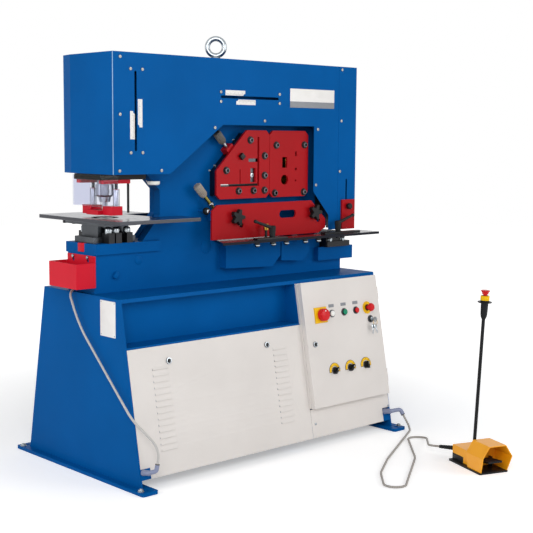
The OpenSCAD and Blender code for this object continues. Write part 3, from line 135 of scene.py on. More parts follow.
# Camera at the photograph's place
def set_camera():
    """A long lens in front of the machine's punching end, with its place in metres.

    Yaw and pitch give the forward direction, right is level, and roll turns right and up about forward."""
    eye = (-3.41673, -4.00787, 1.43172)
    yaw, pitch, roll = math.radians(47.1), math.radians(6.52), math.radians(0.43)
    forward = np.array([math.cos(pitch) * math.cos(yaw), math.cos(pitch) * math.sin(yaw), -math.sin(pitch)])
    right = np.array([math.sin(yaw), -math.cos(yaw), 0.0])
    up = np.cross(right, forward)
    turned_right = right * math.cos(roll) + up * math.sin(roll)
    up = up * math.cos(roll) - right * math.sin(roll)
    data = bpy.data.cameras.new("camera")
    data.sensor_width = 36.0
    data.lens = 76.0
    data.clip_end = 50.0
    camera = bpy.data.objects.new("camera", data)
    camera.matrix_world = Matrix(placed(eye, turned_right, up, -forward).tolist())
    scene.collection.objects.link(camera)
    scene.camera = camera


set_camera()
scene.view_settings.view_transform = "Standard"


# Finishes
def linear(code):
    """An sRGB hex colour as linear light with full opacity."""
    c = np.array([int(code[i:i + 2], 16) for i in (1, 3, 5)]) / 255
    c = np.where(c <= 0.04045, c / 12.92, ((c + 0.055) / 1.055) ** 2.4)
    return (*c.tolist(), 1.0)


def add(tree, kind, settings=(), **links):
    """Adds a node with its settings and fills inputs, named by their label or, as in0 and in1, by their place.

    An input takes an output socket, a node, which stands for its first output, or a plain value."""
    n = tree.nodes.new(kind)
    for key, value in dict(settings).items():
        setattr(n, key, value)
    for key, value in links.items():
        by_place = key.startswith("in") and key[2:].isdigit()
        spot = n.inputs[int(key[2:]) if by_place else key.replace("_", " ")]
        if isinstance(value, bpy.types.Node):
            value = value.outputs[0]
        if isinstance(value, bpy.types.NodeSocket):
            tree.links.new(value, spot)
        else:
            spot.default_value = value
    return n


def start(name):
    """A material with an empty node tree."""
    mat = bpy.data.materials.new(name)
    mat.use_nodes = True
    mat.node_tree.nodes.clear()
    return mat, mat.node_tree


def surfaced(mat, **inputs):
    """The material with a shader of these inputs as its surface."""
    shader = add(mat.node_tree, "ShaderNodeBsdfPrincipled", **inputs)
    add(mat.node_tree, "ShaderNodeOutputMaterial", Surface=shader)
    return mat


def per_metre(size):
    """The scale of a noise whose spots are about this many millimetres wide."""
    return 1 / (size * MM)


def two_tone(tree, value, low, shade, high, code):
    """A shade that passes into a colour while a value rises from one level to another."""
    share = add(tree, "ShaderNodeMapRange", Value=value, From_Min=low, From_Max=high)
    return add(tree, "ShaderNodeMixRGB", Fac=share, Color1=linear(shade), Color2=linear(code))


def powder_coat(name, code, shade, rough, gloss=0.12, peel=0.12):
    """Powder coat baked on steel: a soft gloss, the orange peel of the melt and a faintly uneven colour.

    The peel's bumps are 2.5 mm apart, drawn a little coarser than real so that they show."""
    mat, tree = start(name)
    where = add(tree, "ShaderNodeTexCoord").outputs["Object"]
    cloud = add(tree, "ShaderNodeTexNoise", Vector=where, Scale=per_metre(333), Detail=3.0, Roughness=0.55)
    grain = add(tree, "ShaderNodeTexNoise", Vector=where, Scale=per_metre(2.5), Detail=2.0)
    smear = add(tree, "ShaderNodeTexNoise", Vector=where, Scale=per_metre(71.4), Detail=4.0)
    tone = two_tone(tree, cloud, 0.3, shade, 0.7, code)
    sheen = add(tree, "ShaderNodeMapRange", Value=smear, To_Min=rough - 0.05, To_Max=rough + 0.06)
    bump = add(tree, "ShaderNodeBump", Height=grain, Strength=peel, Distance=0.6 * MM)
    return surfaced(mat, Base_Color=tone, Roughness=sheen, Normal=bump, IOR=1.5, Specular_IOR_Level=gloss)


def machined(name, code, shade, rough, stretch=(1, 1, 1), metal=1.0, side=None):
    """Machined or rolled steel: cutter lines, drawn out one way by the stretch, and darker handling marks.

    The lines are about 4 mm wide, coarser than real so that they show. A plate with a side colour is darker
    on its upright faces, told apart by the normal's height."""
    mat, tree = start(name)
    where = add(tree, "ShaderNodeTexCoord").outputs
    lay = add(tree, "ShaderNodeMapping", Vector=where["Object"], Scale=stretch)
    lines = add(tree, "ShaderNodeTexNoise", Vector=lay, Scale=per_metre(4.17), Detail=3.0, Roughness=0.6)
    marks = add(tree, "ShaderNodeTexNoise", Vector=where["Object"], Scale=per_metre(111), Detail=6.0,
                Roughness=0.65)
    tone = two_tone(tree, marks, 0.35, shade, 0.65, code)
    # Upright faces, told apart by the normal's height, take the darker side colour
    if side:
        normal = add(tree, "ShaderNodeSeparateXYZ", Vector=where["Normal"]).outputs
        flat = add(tree, "ShaderNodeMath", {"operation": "ABSOLUTE"}, in0=normal["Z"])
        tone = add(tree, "ShaderNodeMixRGB", Fac=flat, Color1=linear(side), Color2=tone)
    sheen = add(tree, "ShaderNodeMapRange", Value=lines, To_Min=max(rough - 0.12, 0.05), To_Max=rough + 0.12)
    bump = add(tree, "ShaderNodeBump", Height=lines, Strength=0.18, Distance=0.4 * MM)
    return surfaced(mat, Base_Color=tone, Roughness=sheen, Normal=bump, Metallic=metal)


def moulded(name, code, shade, rough, gloss=0.2):
    """Moulded plastic: nearly even colour with the spark-eroded grain of its tool, about 1 mm wide."""
    mat, tree = start(name)
    where = add(tree, "ShaderNodeTexCoord").outputs["Object"]
    grain = add(tree, "ShaderNodeTexNoise", Vector=where, Scale=per_metre(1.11), Detail=2.0)
    soft = add(tree, "ShaderNodeTexNoise", Vector=where, Scale=per_metre(50), Detail=3.0)
    tone = two_tone(tree, soft, 0.3, shade, 0.7, code)
    sheen = add(tree, "ShaderNodeMapRange", Value=soft, To_Min=rough - 0.06, To_Max=rough + 0.08)
    bump = add(tree, "ShaderNodeBump", Height=grain, Strength=0.2, Distance=0.4 * MM)
    return surfaced(mat, Base_Color=tone, Roughness=sheen, Normal=bump, IOR=1.46, Specular_IOR_Level=gloss)


def clear_sheet(name, code):
    """Polycarbonate sheet: clear with a faint tint and a gloss worn in wiped patches 33 mm wide.

    Its IOR is below the real 1.58, which makes its reflections weaker."""
    mat, tree = start(name)
    where = add(tree, "ShaderNodeTexCoord").outputs["Object"]
    wipe = add(tree, "ShaderNodeTexNoise", Vector=where, Scale=per_metre(33.3), Detail=4.0)
    sheen = add(tree, "ShaderNodeMapRange", Value=wipe, To_Min=0.02, To_Max=0.12)
    return surfaced(mat, Base_Color=linear(code), Roughness=sheen, IOR=1.25, Transmission_Weight=1.0)


def wrapped_hose(name, code, shade, pitch):
    """A cord's plastic skin over its wound core: a shallow spiral ridge of the given pitch.

    The ridge is a sine of arc length over pitch plus the turn round the cord, both from the cord's UV map.
    The colour follows the ridge, with painted shade down in the groove."""
    mat, tree = start(name)
    uv = add(tree, "ShaderNodeUVMap", {"uv_map": "along"})
    split = add(tree, "ShaderNodeSeparateXYZ", Vector=uv).outputs
    turns = add(tree, "ShaderNodeMath", {"operation": "DIVIDE"}, in0=split["X"], in1=pitch * MM)
    phase = add(tree, "ShaderNodeMath", {"operation": "ADD"}, in0=turns, in1=split["Y"])
    angle = add(tree, "ShaderNodeMath", {"operation": "MULTIPLY"}, in0=phase, in1=2 * math.pi)
    wave = add(tree, "ShaderNodeMath", {"operation": "SINE"}, in0=angle)
    ridge = add(tree, "ShaderNodeMapRange", Value=wave, From_Min=-1.0)
    # Painted shade: the colour falls from the ridge's top to the shade colour down in the groove
    tone = two_tone(tree, ridge, 0.0, shade, 0.6, code)
    bump = add(tree, "ShaderNodeBump", Height=ridge, Strength=0.6, Distance=1.2 * MM)
    return surfaced(mat, Base_Color=tone, Roughness=0.42, Normal=bump, Specular_IOR_Level=0.25)


# Powder coats and gloss paints
blue = powder_coat("blue_powder_coat", "#03589E", "#025294", 0.36, 0.02)
white = powder_coat("warm_white_powder_coat", "#E0DBD7", "#D9D4D0", 0.42, 0.2, 0.2)
red = powder_coat("red_gloss_paint", "#AC141C", "#A01118", 0.3, 0.08, 0.06)
bright_red = powder_coat("bright_red_powder_coat", "#D41B30", "#CA172B", 0.34, 0.1)
# A pale blue for the strip that paints the highlight along the cover's front-left edge
painted_highlight_blue = powder_coat("worn_blue_sheet_edge", "#9DBBD8", "#8DAECF", 0.4, 0.1)
cast_black = powder_coat("black_enamel", "#1B1C1F", "#141517", 0.4, 0.15)
# Bare and plated metals
bare_steel = machined("ground_steel", "#B4B6BA", "#9A9DA2", 0.3)
zinc = machined("zinc_plated_steel", "#AEB4B8", "#949BA0", 0.26)
dull_zinc = machined("chromated_zinc_screw", "#A9A6A2", "#918E8A", 0.42)
table_steel = machined("ground_table_plate", "#787A84", "#686A73", 0.22, (1, 0.15, 1), side="#4A4B50")
feed_steel = machined("blued_feed_plate", "#3E3F48", "#33343C", 0.2, (0.15, 1, 1), side="#23242A")
burnished = machined("burnished_screw_steel", "#5E6064", "#4A4C50", 0.3)
die_steel = machined("hardened_tool_steel", "#55585C", "#44474B", 0.34)
black_oxide = machined("black_oxide_steel", "#232427", "#18191B", 0.38, metal=0.6)
brass = machined("turned_brass", "#C9A24A", "#A8823A", 0.28)
passivated = machined("passivated_thread_steel", "#8F8242", "#6F6534", 0.34)
# Plastics
black_plastic = moulded("black_polyamide", "#18191B", "#141517", 0.42)
dark_grip = moulded("dark_knurled_grip", "#6A6864", "#55534F", 0.42, 0.2)
pale_grip = moulded("grey_knurled_grip", "#A29A90", "#8A8279", 0.42, 0.2)
elbow_grey = moulded("blue_grey_polyamide", "#8E95B0", "#8289A4", 0.4)
grey_plastic = moulded("light_grey_polyamide", "#A4A8AC", "#9A9EA2", 0.45)
yellow_plastic = moulded("yellow_abs", "#FFB01A", "#FBA913", 0.32, 0.45)
signal_yellow = moulded("signal_yellow_plastic", "#F4C414", "#EDBB0E", 0.35)
signal_red = moulded("signal_red_plastic", "#D41E24", "#CA1A20", 0.28)
signal_green = moulded("green_lens_plastic", "#0F8C66", "#0D825E", 0.25)
lamp_white = moulded("white_lens_plastic", "#F0F0EC", "#E9E9E4", 0.25)
label_white = moulded("white_plate_film", "#ECEAE8", "#E6E4E1", 0.4)
label_grey = moulded("grey_plate_film", "#8C8F94", "#84878C", 0.4)
tick_black = moulded("black_print_film", "#1E1F22", "#191A1C", 0.5)
clear = clear_sheet("clear_polycarbonate", "#E4E6F2")
# Each cord's second colour is the painted shade in its groove
hose_grey = wrapped_hose("grey_wrapped_conduit", "#CECBC8", "#A3A2A1", 4.5)
cable_grey = wrapped_hose("grey_pedal_cable", "#A9A49E", "#928D88", 9)


# Shapes as arrays of points and lists of faces
def piece(name, shape, material, body="machine", node=()):
    """An object from a shape in millimetres, which rides on a body and stands for a node if one is given."""
    points, faces = shape
    mesh = bpy.data.meshes.new(name)
    mesh.from_pydata((np.asarray(points, float) * MM).tolist(), [], faces)
    mesh.validate()
    bm = bmesh.new()
    bm.from_mesh(mesh)
    bmesh.ops.recalc_face_normals(bm, faces=bm.faces)
    bm.to_mesh(mesh)
    bm.free()
    mesh.polygons.foreach_set("use_smooth", np.ones(len(mesh.polygons), bool))
    mesh.set_sharp_from_angle(angle=SHARP)
    mesh.materials.append(material)
    obj = bpy.data.objects.new(name, mesh)
    scene.collection.objects.link(obj)
    if body:
        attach(obj, body)
    if node:
        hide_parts(node)
    return obj


def moved(shape, m):
    """A shape carried into the machine's frame by a placement."""
    return np.asarray(shape[0], float) @ m[:3, :3].T + m[:3, 3], shape[1]


def joined(*shapes):
    """Several shapes as one, each one's faces counted on from the points before it."""
    points, faces, n = [], [], 0
    for p, f in shapes:
        points.append(np.asarray(p, float))
        faces += [[i + n for i in face] for face in f]
        n += len(p)
    return np.concatenate(points), faces


def many(shape, places):
    """One shape repeated at every placement."""
    return joined(*[moved(shape, m) for m in places])


def grid_faces(rows, cols, around=False):
    """Quads between neighbouring rows whose columns run round; with around, the last row joins the first."""
    r = np.arange(rows if around else rows - 1)[:, None]
    c = np.arange(cols)[None, :]
    n, up = (c + 1) % cols, (r + 1) % rows
    return np.stack([r * cols + c, r * cols + n, up * cols + n, up * cols + c], -1).reshape(-1, 4).tolist()


def ringed(rings):
    """Rings of equal count joined by quads, closed by the first and the last ring as faces."""
    rings = np.asarray(rings, float)
    rows, cols = rings.shape[:2]
    ends = [list(range(cols))[::-1], list(range((rows - 1) * cols, rows * cols))]
    return rings.reshape(-1, 3), grid_faces(rows, cols) + ends


def looped(rings):
    """Rings of equal count joined by quads, the last one to the first, as for a washer or a hoop."""
    rings = np.asarray(rings, float)
    return rings.reshape(-1, 3), grid_faces(*rings.shape[:2], around=True)


def turned(profile, sides=32, ribs=0, depth=0.0, bored=False):
    """A profile of radius, height and rib share turned about local Z.

    The radius gets the cosine of ribs times the angle, times depth, times the share. A bored profile closes
    on itself."""
    prof = np.array([tuple(p) + (0,) * (3 - len(p)) for p in profile], float)
    t = np.linspace(0, 2 * math.pi, sides, endpoint=False)
    r = np.maximum(prof[:, :1], 1e-3) + prof[:, 2:] * depth * np.cos(ribs * t)
    rings = np.stack([r * np.cos(t), r * np.sin(t), np.repeat(prof[:, 1:2], sides, 1)], -1)
    return looped(rings) if bored else ringed(rings)


def rounded_rect(w, h, r, n=5):
    """Outline of a rectangle with quarter circles at its corners, counter-clockwise."""
    t = np.linspace(0, math.pi / 2, n)
    turns = t[None, :] + np.arange(4)[:, None] * math.pi / 2
    centres = np.array([[1, 1], [-1, 1], [-1, -1], [1, -1]]) * (w / 2 - r, h / 2 - r)
    return (np.stack([np.cos(turns), np.sin(turns)], -1) * r + centres[:, None]).reshape(-1, 2)


def inset(outline, d):
    """The outline moved inwards by d along the mean of its two edge normals at each point."""
    p = np.asarray(outline, float)
    e1, e2 = p - np.roll(p, 1, 0), np.roll(p, -1, 0) - p
    n1 = np.stack([-e1[:, 1], e1[:, 0]], -1) / np.linalg.norm(e1, axis=1)[:, None]
    n2 = np.stack([-e2[:, 1], e2[:, 0]], -1) / np.linalg.norm(e2, axis=1)[:, None]
    n = n1 + n2
    n /= np.maximum((n * n1).sum(1), 0.5)[:, None]
    return p + n * d


def slab(outline, t, edge):
    """An outline given a thickness along local Z, with its front edge rounded off in two steps."""
    steps = ((0, 0), (0, t - edge), (edge * 0.3, t - edge * 0.3), (edge, t))
    return ringed([np.column_stack([inset(outline, d), np.full(len(outline), z)]) for d, z in steps])


def block(a, b, edge=1.0):
    """A box between two corners with eased edges: rounded rectangles along Z, drawn in at both ends."""
    a, b = np.asarray(a, float), np.asarray(b, float)
    w, h, t = b - a
    outline = rounded_rect(w, h, edge, 4) + ((a + b) / 2)[:2]
    k = edge * np.array([[0.7, 0], [0.2, 0.3], [0, 1]])
    steps = [(d, z) for d, z in k] + [(d, t - z) for d, z in k[::-1]]
    return ringed([np.column_stack([inset(outline, d), np.full(len(outline), a[2] + z)]) for d, z in steps])


def hexagon(t):
    """Radius of a hexagon of unit corner radius at each angle."""
    return math.cos(math.pi / 6) / np.cos((t + math.pi / 6) % (math.pi / 3) - math.pi / 6)


def shaped_rings(steps):
    """Rings of radius and height whose plan is a circle, or a hexagon where the third entry is true."""
    t = np.linspace(0, 2 * math.pi, 36, endpoint=False)
    rows = [(r * (hexagon(t) if six else np.ones_like(t)), z) for r, z, six in steps]
    return ringed([np.stack([r * np.cos(t), r * np.sin(t), np.full_like(t, z)], -1) for r, z in rows])


def socket_head(r, h, socket):
    """A round screw head, from its side over the domed rim and into the hexagon socket."""
    return shaped_rings((
        (r, 0, False), (r, h * 0.6, False), (r * 0.93, h * 0.85, False), (r * 0.75, h, False),
        (socket * 1.04, h, True), (socket, h * 0.93, True), (socket, h * 0.35, True),
    ))


def hex_bolt(r, h, washer):
    """A hexagon head with its top corners turned off, on a washer 2 mm thick."""
    return shaped_rings((
        (washer, 0, False), (washer, 1.6, False), (washer - 0.4, 2, False), (r, 2, True), (r, h + 0.6, True),
        (r * 0.86, h + 2, False),
    ))


def unit(v):
    """A vector of length one."""
    return np.asarray(v, float) / np.linalg.norm(v)


def bent(corners, n=10):
    """A route of straight legs with arcs at its corners; a corner gives its point and its bend's radius.

    An arc's centre lies on the bisector of its two legs at radius / sin(half their angle), and the arc runs
    between the points where it touches them."""
    p = [np.asarray(c[:3], float) for c in corners]
    path = [p[0]]
    for before, corner, after, r in zip(p, p[1:], p[2:], [c[3] for c in corners[1:-1]]):
        a, b = unit(before - corner), unit(after - corner)
        half = math.acos(float(a @ b)) / 2
        centre = corner + unit(a + b) * r / math.sin(half)
        u, v = corner + a * r / math.tan(half) - centre, corner + b * r / math.tan(half) - centre
        turn = math.pi - 2 * half
        w = np.linspace(0, turn, n)[:, None]
        path.append(centre + (u * np.sin(turn - w) + v * np.sin(w)) / math.sin(turn))
    path.append(p[-1])
    return np.vstack(path)


def swept(path, radius, sides):
    """A round section of one radius, or one per point, carried along a path with as little turn as can be."""
    path = np.asarray(path, float)
    step = np.diff(path, axis=0)
    step /= np.linalg.norm(step, axis=1)[:, None]
    tangent = np.vstack([step[:1], step[:-1] + step[1:], step[-1:]])
    tangent /= np.linalg.norm(tangent, axis=1)[:, None]
    u = np.zeros_like(path)
    u[0] = unit(np.cross(tangent[0], (0, 0, 1) if abs(tangent[0][2]) < 0.9 else (1, 0, 0)))
    for k in range(1, len(path)):
        u[k] = unit(u[k - 1] - tangent[k] * np.dot(u[k - 1], tangent[k]))
    v = np.cross(tangent, u)
    t = np.linspace(0, 2 * math.pi, sides, endpoint=False)
    r = np.broadcast_to(np.asarray(radius, float), len(path))[:, None, None]
    round_section = np.cos(t)[None, :, None] * u[:, None] + np.sin(t)[None, :, None] * v[:, None]
    return ringed(path[:, None] + r * round_section)


def hoop(big, wire):
    """A ring of round wire about local Z: the wire's circle carried round the big one."""
    w = np.linspace(0, 2 * math.pi, 14, endpoint=False)
    return turned(np.column_stack([big + wire * np.cos(w), wire * np.sin(w)]), 40, bored=True)


# Cords
def lay_cord(name, path, radius, material, node):
    """A cord's tube with its real arc length and its turn as its UV map.

    A face across the seam, where the turn falls from one to none, counts on past one."""
    sides = 16
    obj = piece(name, swept(path, radius, sides), material, node=node)
    mesh = obj.data
    length = np.concatenate([[0], np.cumsum(np.linalg.norm(np.diff(path, axis=0), axis=1))]) * MM
    index = np.empty(len(mesh.loops), int)
    mesh.loops.foreach_get("vertex_index", index)
    turn = (index % sides) / sides
    first = np.repeat([p.loop_start for p in mesh.polygons], [p.loop_total for p in mesh.polygons])
    turn = np.where((turn < 0.25) & (turn[first] > 0.7), turn + 1, turn)
    along = np.column_stack([length[index // sides], turn])
    mesh.uv_layers.new(name="along").data.foreach_set("uv", along.ravel())


# An elbow has its place on the slope, the corner and the mouth of its arm, its diameter and its bend
ELBOWS = (
    {"at": (-752, 708), "turn": (-724, -464, 88), "end": (-720, -466, 113), "d": 18, "bend": 12},
    {"at": (731, 693), "turn": (798, -456, 98), "end": (800.6, -470.3, 76.4), "d": 20, "bend": 14},
)
# The pedal's gland, in the pedal's axes: a collar on its back, then a boot to the cable's end
GLAND_FROM = np.array([-18.0, 137, 46])
GLAND_COLLAR = np.array([0.0, 10, 0])
GLAND_TO = np.array([-64.0, 221, 40])
GLAND_WAY = unit(GLAND_TO - GLAND_FROM - GLAND_COLLAR)
CORD_R = 5.0
CORD_GAP = 0.3  # between a cord's end and the mouth it comes out of
LAID = 6.0  # the laid cable's middle above the floor


def lay_cords():
    """The conduit up to the frame and the pedal's cable over the floor, on the routes of their solids."""
    turn, end = (np.array(ELBOWS[0][k], float) for k in ("turn", "end"))
    out = unit(end - turn)
    route = bent([
        end + CORD_GAP * out, (*(end + 66 * out), 100), (-794, -395, 300, 120), (-794, -20, 640, 500),
        (-794, 57, 785, 42), (-750.2, 57, 785),
    ])
    lay_cord("conduit_hose", route, CORD_R, hose_grey, "conduit")
    turn, end = (np.array(ELBOWS[1][k], float) for k in ("turn", "end"))
    out = unit(end - turn)
    landing = end + out * (LAID - end[2]) / out[2]
    route = bent([
        end + CORD_GAP * out, (*landing, 44), (330, -782, LAID, 600), (149, -901, LAID, 300),
        (10, -1044, LAID, 43), (73, -1102.5, LAID, 43), (441, -850, LAID, 300), (687, -597.5, LAID, 43),
        (754.4, -660, LAID, 43), (*on_pedal(*(GLAND_TO + 60 * GLAND_WAY))[:3, 3], 44),
        on_pedal(*(GLAND_TO + CORD_GAP * GLAND_WAY))[:3, 3],
    ])
    lay_cord("pedal_lead", route, CORD_R, cable_grey, "pedal_cable")


lay_cords()


def fit_elbows():
    """Elbows on the sloping front, each a flanged stub with a ball end, a bent arm and a mouth; the gland."""
    stub_h = 38
    for name, e in zip(("conduit_elbow", "cable_elbow"), ELBOWS):
        r = e["d"] / 2
        end, turn = np.array(e["end"], float), np.array(e["turn"], float)
        out = unit(end - turn)
        dome = np.linspace(0, math.pi / 2, 6)
        ball = [((r + 2.5) * math.cos(a), stub_h + (r + 2.5) * math.sin(a)) for a in dome]
        stub = turned([(r + 4, 0.3), (r + 4, 5), (r + 3.2, 6.3), (r + 2.5, 6.5), *ball])
        route = bent([on_slope(*e["at"], stub_h)[:3, 3], (*turn, e["bend"]), end + 3 * out], 12)
        arm = swept(route, r, 24)
        piece(name, joined(moved(stub, on_slope(*e["at"])), arm), elbow_grey, node="cable_glands")
        rim = [end + d * out for d in (1.4, 1.8, 4.2, 4.8)]
        mouth = swept(rim, [r, r + 0.5, r + 0.5, r - 0.8], 24)
        piece(name + "_mouth", mouth, dark_grip, node="cable_glands")
    first, last = GLAND_FROM + GLAND_COLLAR, GLAND_TO + 3 * GLAND_WAY
    t = np.linspace(0, 1, 73)
    ribs = 1.1 * (np.cos(t * 22 * math.pi) > 0) * (t > 0.12)
    places = [on_pedal(*(first + (last - first) * k))[:3, 3] for k in t]
    boot = swept(places, 10.4 - 3.4 * t + ribs, 20)
    steps = [on_pedal(*(GLAND_FROM + (0, d, 0)))[:3, 3] for d in (0.2, 1.0, 10.5, 12.2)]
    collar = swept(steps, [12.4, 13, 13, 11.6], 6)
    piece("pedal_gland", joined(boot, collar), black_plastic, node="cable_glands")


fit_elbows()


# Nodes with eased edges
def dress(node, material, edge, body):
    """A copy of a node's mesh, merged and freed of flat seams, with a bevel that rounds off its edges."""
    split = math.radians(32)
    mesh = nodes[node].data.copy()
    bm = bmesh.new()
    bm.from_mesh(mesh)
    bmesh.ops.remove_doubles(bm, verts=bm.verts, dist=2e-6)
    bmesh.ops.dissolve_limit(bm, angle_limit=math.radians(0.3), verts=bm.verts, edges=bm.edges)
    bm.to_mesh(mesh)
    bm.free()
    mesh.materials.clear()
    mesh.materials.append(material)
    mesh.polygons.foreach_set("use_smooth", np.ones(len(mesh.polygons), bool))
    mesh.set_sharp_from_angle(angle=split)
    obj = bpy.data.objects.new(node + "_dressed", mesh)
    scene.collection.objects.link(obj)
    bevel = obj.modifiers.new("eased_edges", "BEVEL")
    bevel.width = edge * MM
    bevel.segments = 2
    bevel.limit_method = "ANGLE"
    bevel.angle_limit = split
    bevel.harden_normals = True
    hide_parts(node)
    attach(obj, body)
    return obj


def dress_table():
    """The work table's plate, thicker upwards and deeper at its back than its solid."""
    thicker, deeper = 6, 26
    mesh = dress("punch_table", table_steel, 1.6, "machine").data
    p = np.empty(3 * len(mesh.vertices))
    mesh.vertices.foreach_get("co", p)
    p = p.reshape(-1, 3)
    p[:, 2] += np.where(p[:, 2] > (BASE_H + TABLE_UNDER + 5) * MM, thicker * MM, 0)
    p[:, 1] += np.where(p[:, 1] > (MID_Y + 300) * MM, deeper * MM, 0)
    mesh.vertices.foreach_set("co", p.ravel())


dress_table()
for node, material, edge in (
    ("base_frame", blue, 1.5), ("machine_frame", blue, 2.0), ("top_cover", blue, 1.2),
    ("front_panel", white, 0.6), ("lower_panel", white, 0.6), ("cabinet_box", white, 0.8),
    ("angle_plate", red, 1.2), ("bar_plate", red, 1.2), ("feed_table", feed_steel, 1.2),
    ("bolster", die_steel, 1.2), ("bolster_clamps", black_oxide, 1.0),
    ("punch_cylinder", cast_black, 1.5), ("stripper", bright_red, 1.0), ("notcher_die", black_oxide, 1.2),
    ("pedal_hood", yellow_plastic, 1.2), ("pedal_base", black_plastic, 1.0),
):
    dress(node, material, edge, "machine")
for node, material, edge in (
    ("hold_down_plate", red, 1.2), ("slug_box", bright_red, 1.2), ("notcher_guard", red, 1.0),
    ("cabinet_door", white, 1.5), ("star_knob_left", black_plastic, 2.0),
    ("star_knob_right", black_plastic, 2.0), ("stop_left", black_oxide, 1.0),
    ("stop_right", black_oxide, 1.0), ("treadle", black_plastic, 1.0), ("selector_1", black_plastic, 1.0),
    ("selector_2", black_plastic, 1.0), ("selector_3", black_plastic, 1.0),
):
    dress(node, material, edge, node)
for node, material in (
    ("contactor_plate", grey_plastic), ("eye_bolt", zinc), ("blade_block", die_steel), ("punch_guard", clear),
    ("work_lamp", lamp_white), ("shear_cylinder", cast_black), ("oil_tank", blue), ("power_unit", cast_black),
    ("punch_ram", bare_steel), ("shear_beam", die_steel), ("shear_rod", bare_steel),
    ("notcher_knob", black_plastic), ("control_bezels", black_plastic), ("emergency_stop", signal_red),
    ("key_switch", zinc), ("door_lock", black_oxide), ("panel_lock_left", black_oxide),
    ("panel_lock_right", black_oxide),
):
    nodes[node].data.materials.clear()
    nodes[node].data.materials.append(material)


# Cover
BACK = np.diag([-1.0, -1.0, 1.0, 1.0])  # a half turn about Z, which carries a place on the front to the back


def dress_cover():
    """Button head screws round the cover and its slots, its edge's painted highlight, stroke scales and ticks,
    a bare plate.
    """
    spots = [
        (-679, 987), (-681, 752), (-685, 519), (-467, 518), (-169, 703), (131, 737), (480, 702), (471, 435),
        (645, 993), (644, 745), (637, 498), (-627, 940), (-566, 940), (-627, 594), (-566, 594),
        (-135, 861), (-135, 819), (224, 861), (224, 819),
    ]
    places = [facing_front(x, COVER_Y, z) for x, z in spots]
    round_edge = spots[:11]
    places += [BACK @ facing_front(-x, COVER_Y - 2 * MID_Y, z) for x, z in round_edge]
    piece("cover_screws", many(socket_head(7, 3.8, 2.6), places), dull_zinc)
    # A pale blue strip down the cover's front-left corner: a painted highlight of the sheet's edge
    seam = block((-717.1, -194.6, 504), (-714.6, -192.0, 1007), 0.5)
    piece("cover_seam", moved(seam, on_frame(0, 0, 0)), painted_highlight_blue)
    strips, ticks = [], []
    strip = np.array([(-11.5, -58.5), (11.5, -58.5), (11.5, 46), (4, 52), (4, 58.5), (-11.5, 58.5)])
    first_tick, tick_pitch, tick_end = -51, 4.6, 9.5
    for x, z, turn in ((-578, 758, 180), (-618, 708, 0), (-49, 859, -90), (15, 819, 90)):
        m = spun(facing_front(x, COVER_Y, z), turn)
        strips.append(moved(slab(strip, 1.2, 0.4), m))
        for k in range(21):
            long = 11 if k % 5 == 0 else 6
            y = first_tick + tick_pitch * k
            tick = block((tick_end - long, y - 0.35, 1.1), (tick_end, y + 0.35, 1.35), 0.1)
            ticks.append(moved(tick, m))
    piece("stroke_scales", joined(*strips), label_white)
    piece("stroke_ticks", joined(*ticks), tick_black)
    plates = (("name_plate", 60, 861, label_white), ("name_plate_foot", 28, 816.5, label_grey))
    for name, h, z, film in plates:
        plate = slab(rounded_rect(298, h, 2), 1.2, 0.4)
        piece(name, moved(plate, facing_front(442, COVER_Y, z)), film)


dress_cover()


# Frame and base
def dress_frame():
    """Pin caps, grease nipples, levelling bolts, bare rating plate, lock rims, panel screws, back panel."""
    caps = [moved(turned([(r, 0), (r, 1.6), (r - 1.2, 2.4), (0, 2.4)], 48), facing_front(x, FRAME_Y, z))
            for x, z, r in ((-521, 129, 20), (-142, 164, 30))]
    piece("pin_caps", joined(*caps), blue)
    nipple = turned([(4.5, 0), (4.5, 4), (3, 5), (2.4, 8), (3.4, 9.5), (3.2, 11), (1.6, 12.4), (0, 12.8)], 16)
    places = [facing_front(x, FRAME_Y, z) for x, z in ((17, 650), (-95, 533), (-124, 511))]
    piece("grease_nipples", many(nipple, places), zinc)
    feet = [shifted(x, y, FOOT_TOP) for x in (-792, 792) for y in (-452, 452)]
    stud = turned([(6, 8), (6, 11), (5, 12.4), (0, 12.4)], 20)
    piece("levelling_bolts", many(joined(hex_bolt(11, 7, 14), stud), feet), zinc)
    plate = facing_left(-772, -227, -87.5)
    piece("rating_plate", moved(slab(rounded_rect(108, 150, 3), 1.0, 0.3), plate), label_white)
    rivet = turned([(3, 0.9), (2.6, 1.8), (1.4, 2.3), (0, 2.4)], 14)
    corners = [plate @ shifted(x, y, 0) for x in (-47, 47) for y in (-68, 68)]
    piece("rating_plate_rivets", many(rivet, corners), zinc)
    rim = turned([(9.1, 4.6), (13.4, 4.6), (13.8, 5.2), (13.2, 6), (10, 6.2), (9.1, 5.4)], 36, bored=True)
    locks = {
        "panel_lock_left": on_slope(-560, 275, PANEL), "panel_lock_right": on_slope(0, 275, PANEL),
        "door_lock": on_door(273, 308),
    }
    for name, place in locks.items():
        piece(name + "_rim", moved(rim, place), zinc, name)
    screws = [on_slope(247, 676, PANEL), on_slope(759, 669, PANEL)]
    screws += [BACK @ on_slope(x, s, PANEL) for x in (-530, -180, 180, 530) for s in (118, 562)]
    piece("panel_screws", many(socket_head(6, 3, 2.4), screws), zinc)
    sheet = slab(rounded_rect(1110, 480, 8), PANEL, 0.6)
    piece("back_panel", moved(sheet, BACK @ on_slope(0, 340)), blue)
    hood = block((-50, -5, 0.5), (50, 5, 5.5), 2.2)
    vents = [BACK @ on_slope(x, 200 + 32 * k, 1.5) for x in (-380, 380) for k in range(9)]
    piece("back_panel_vents", many(hood, vents), blue)


dress_frame()


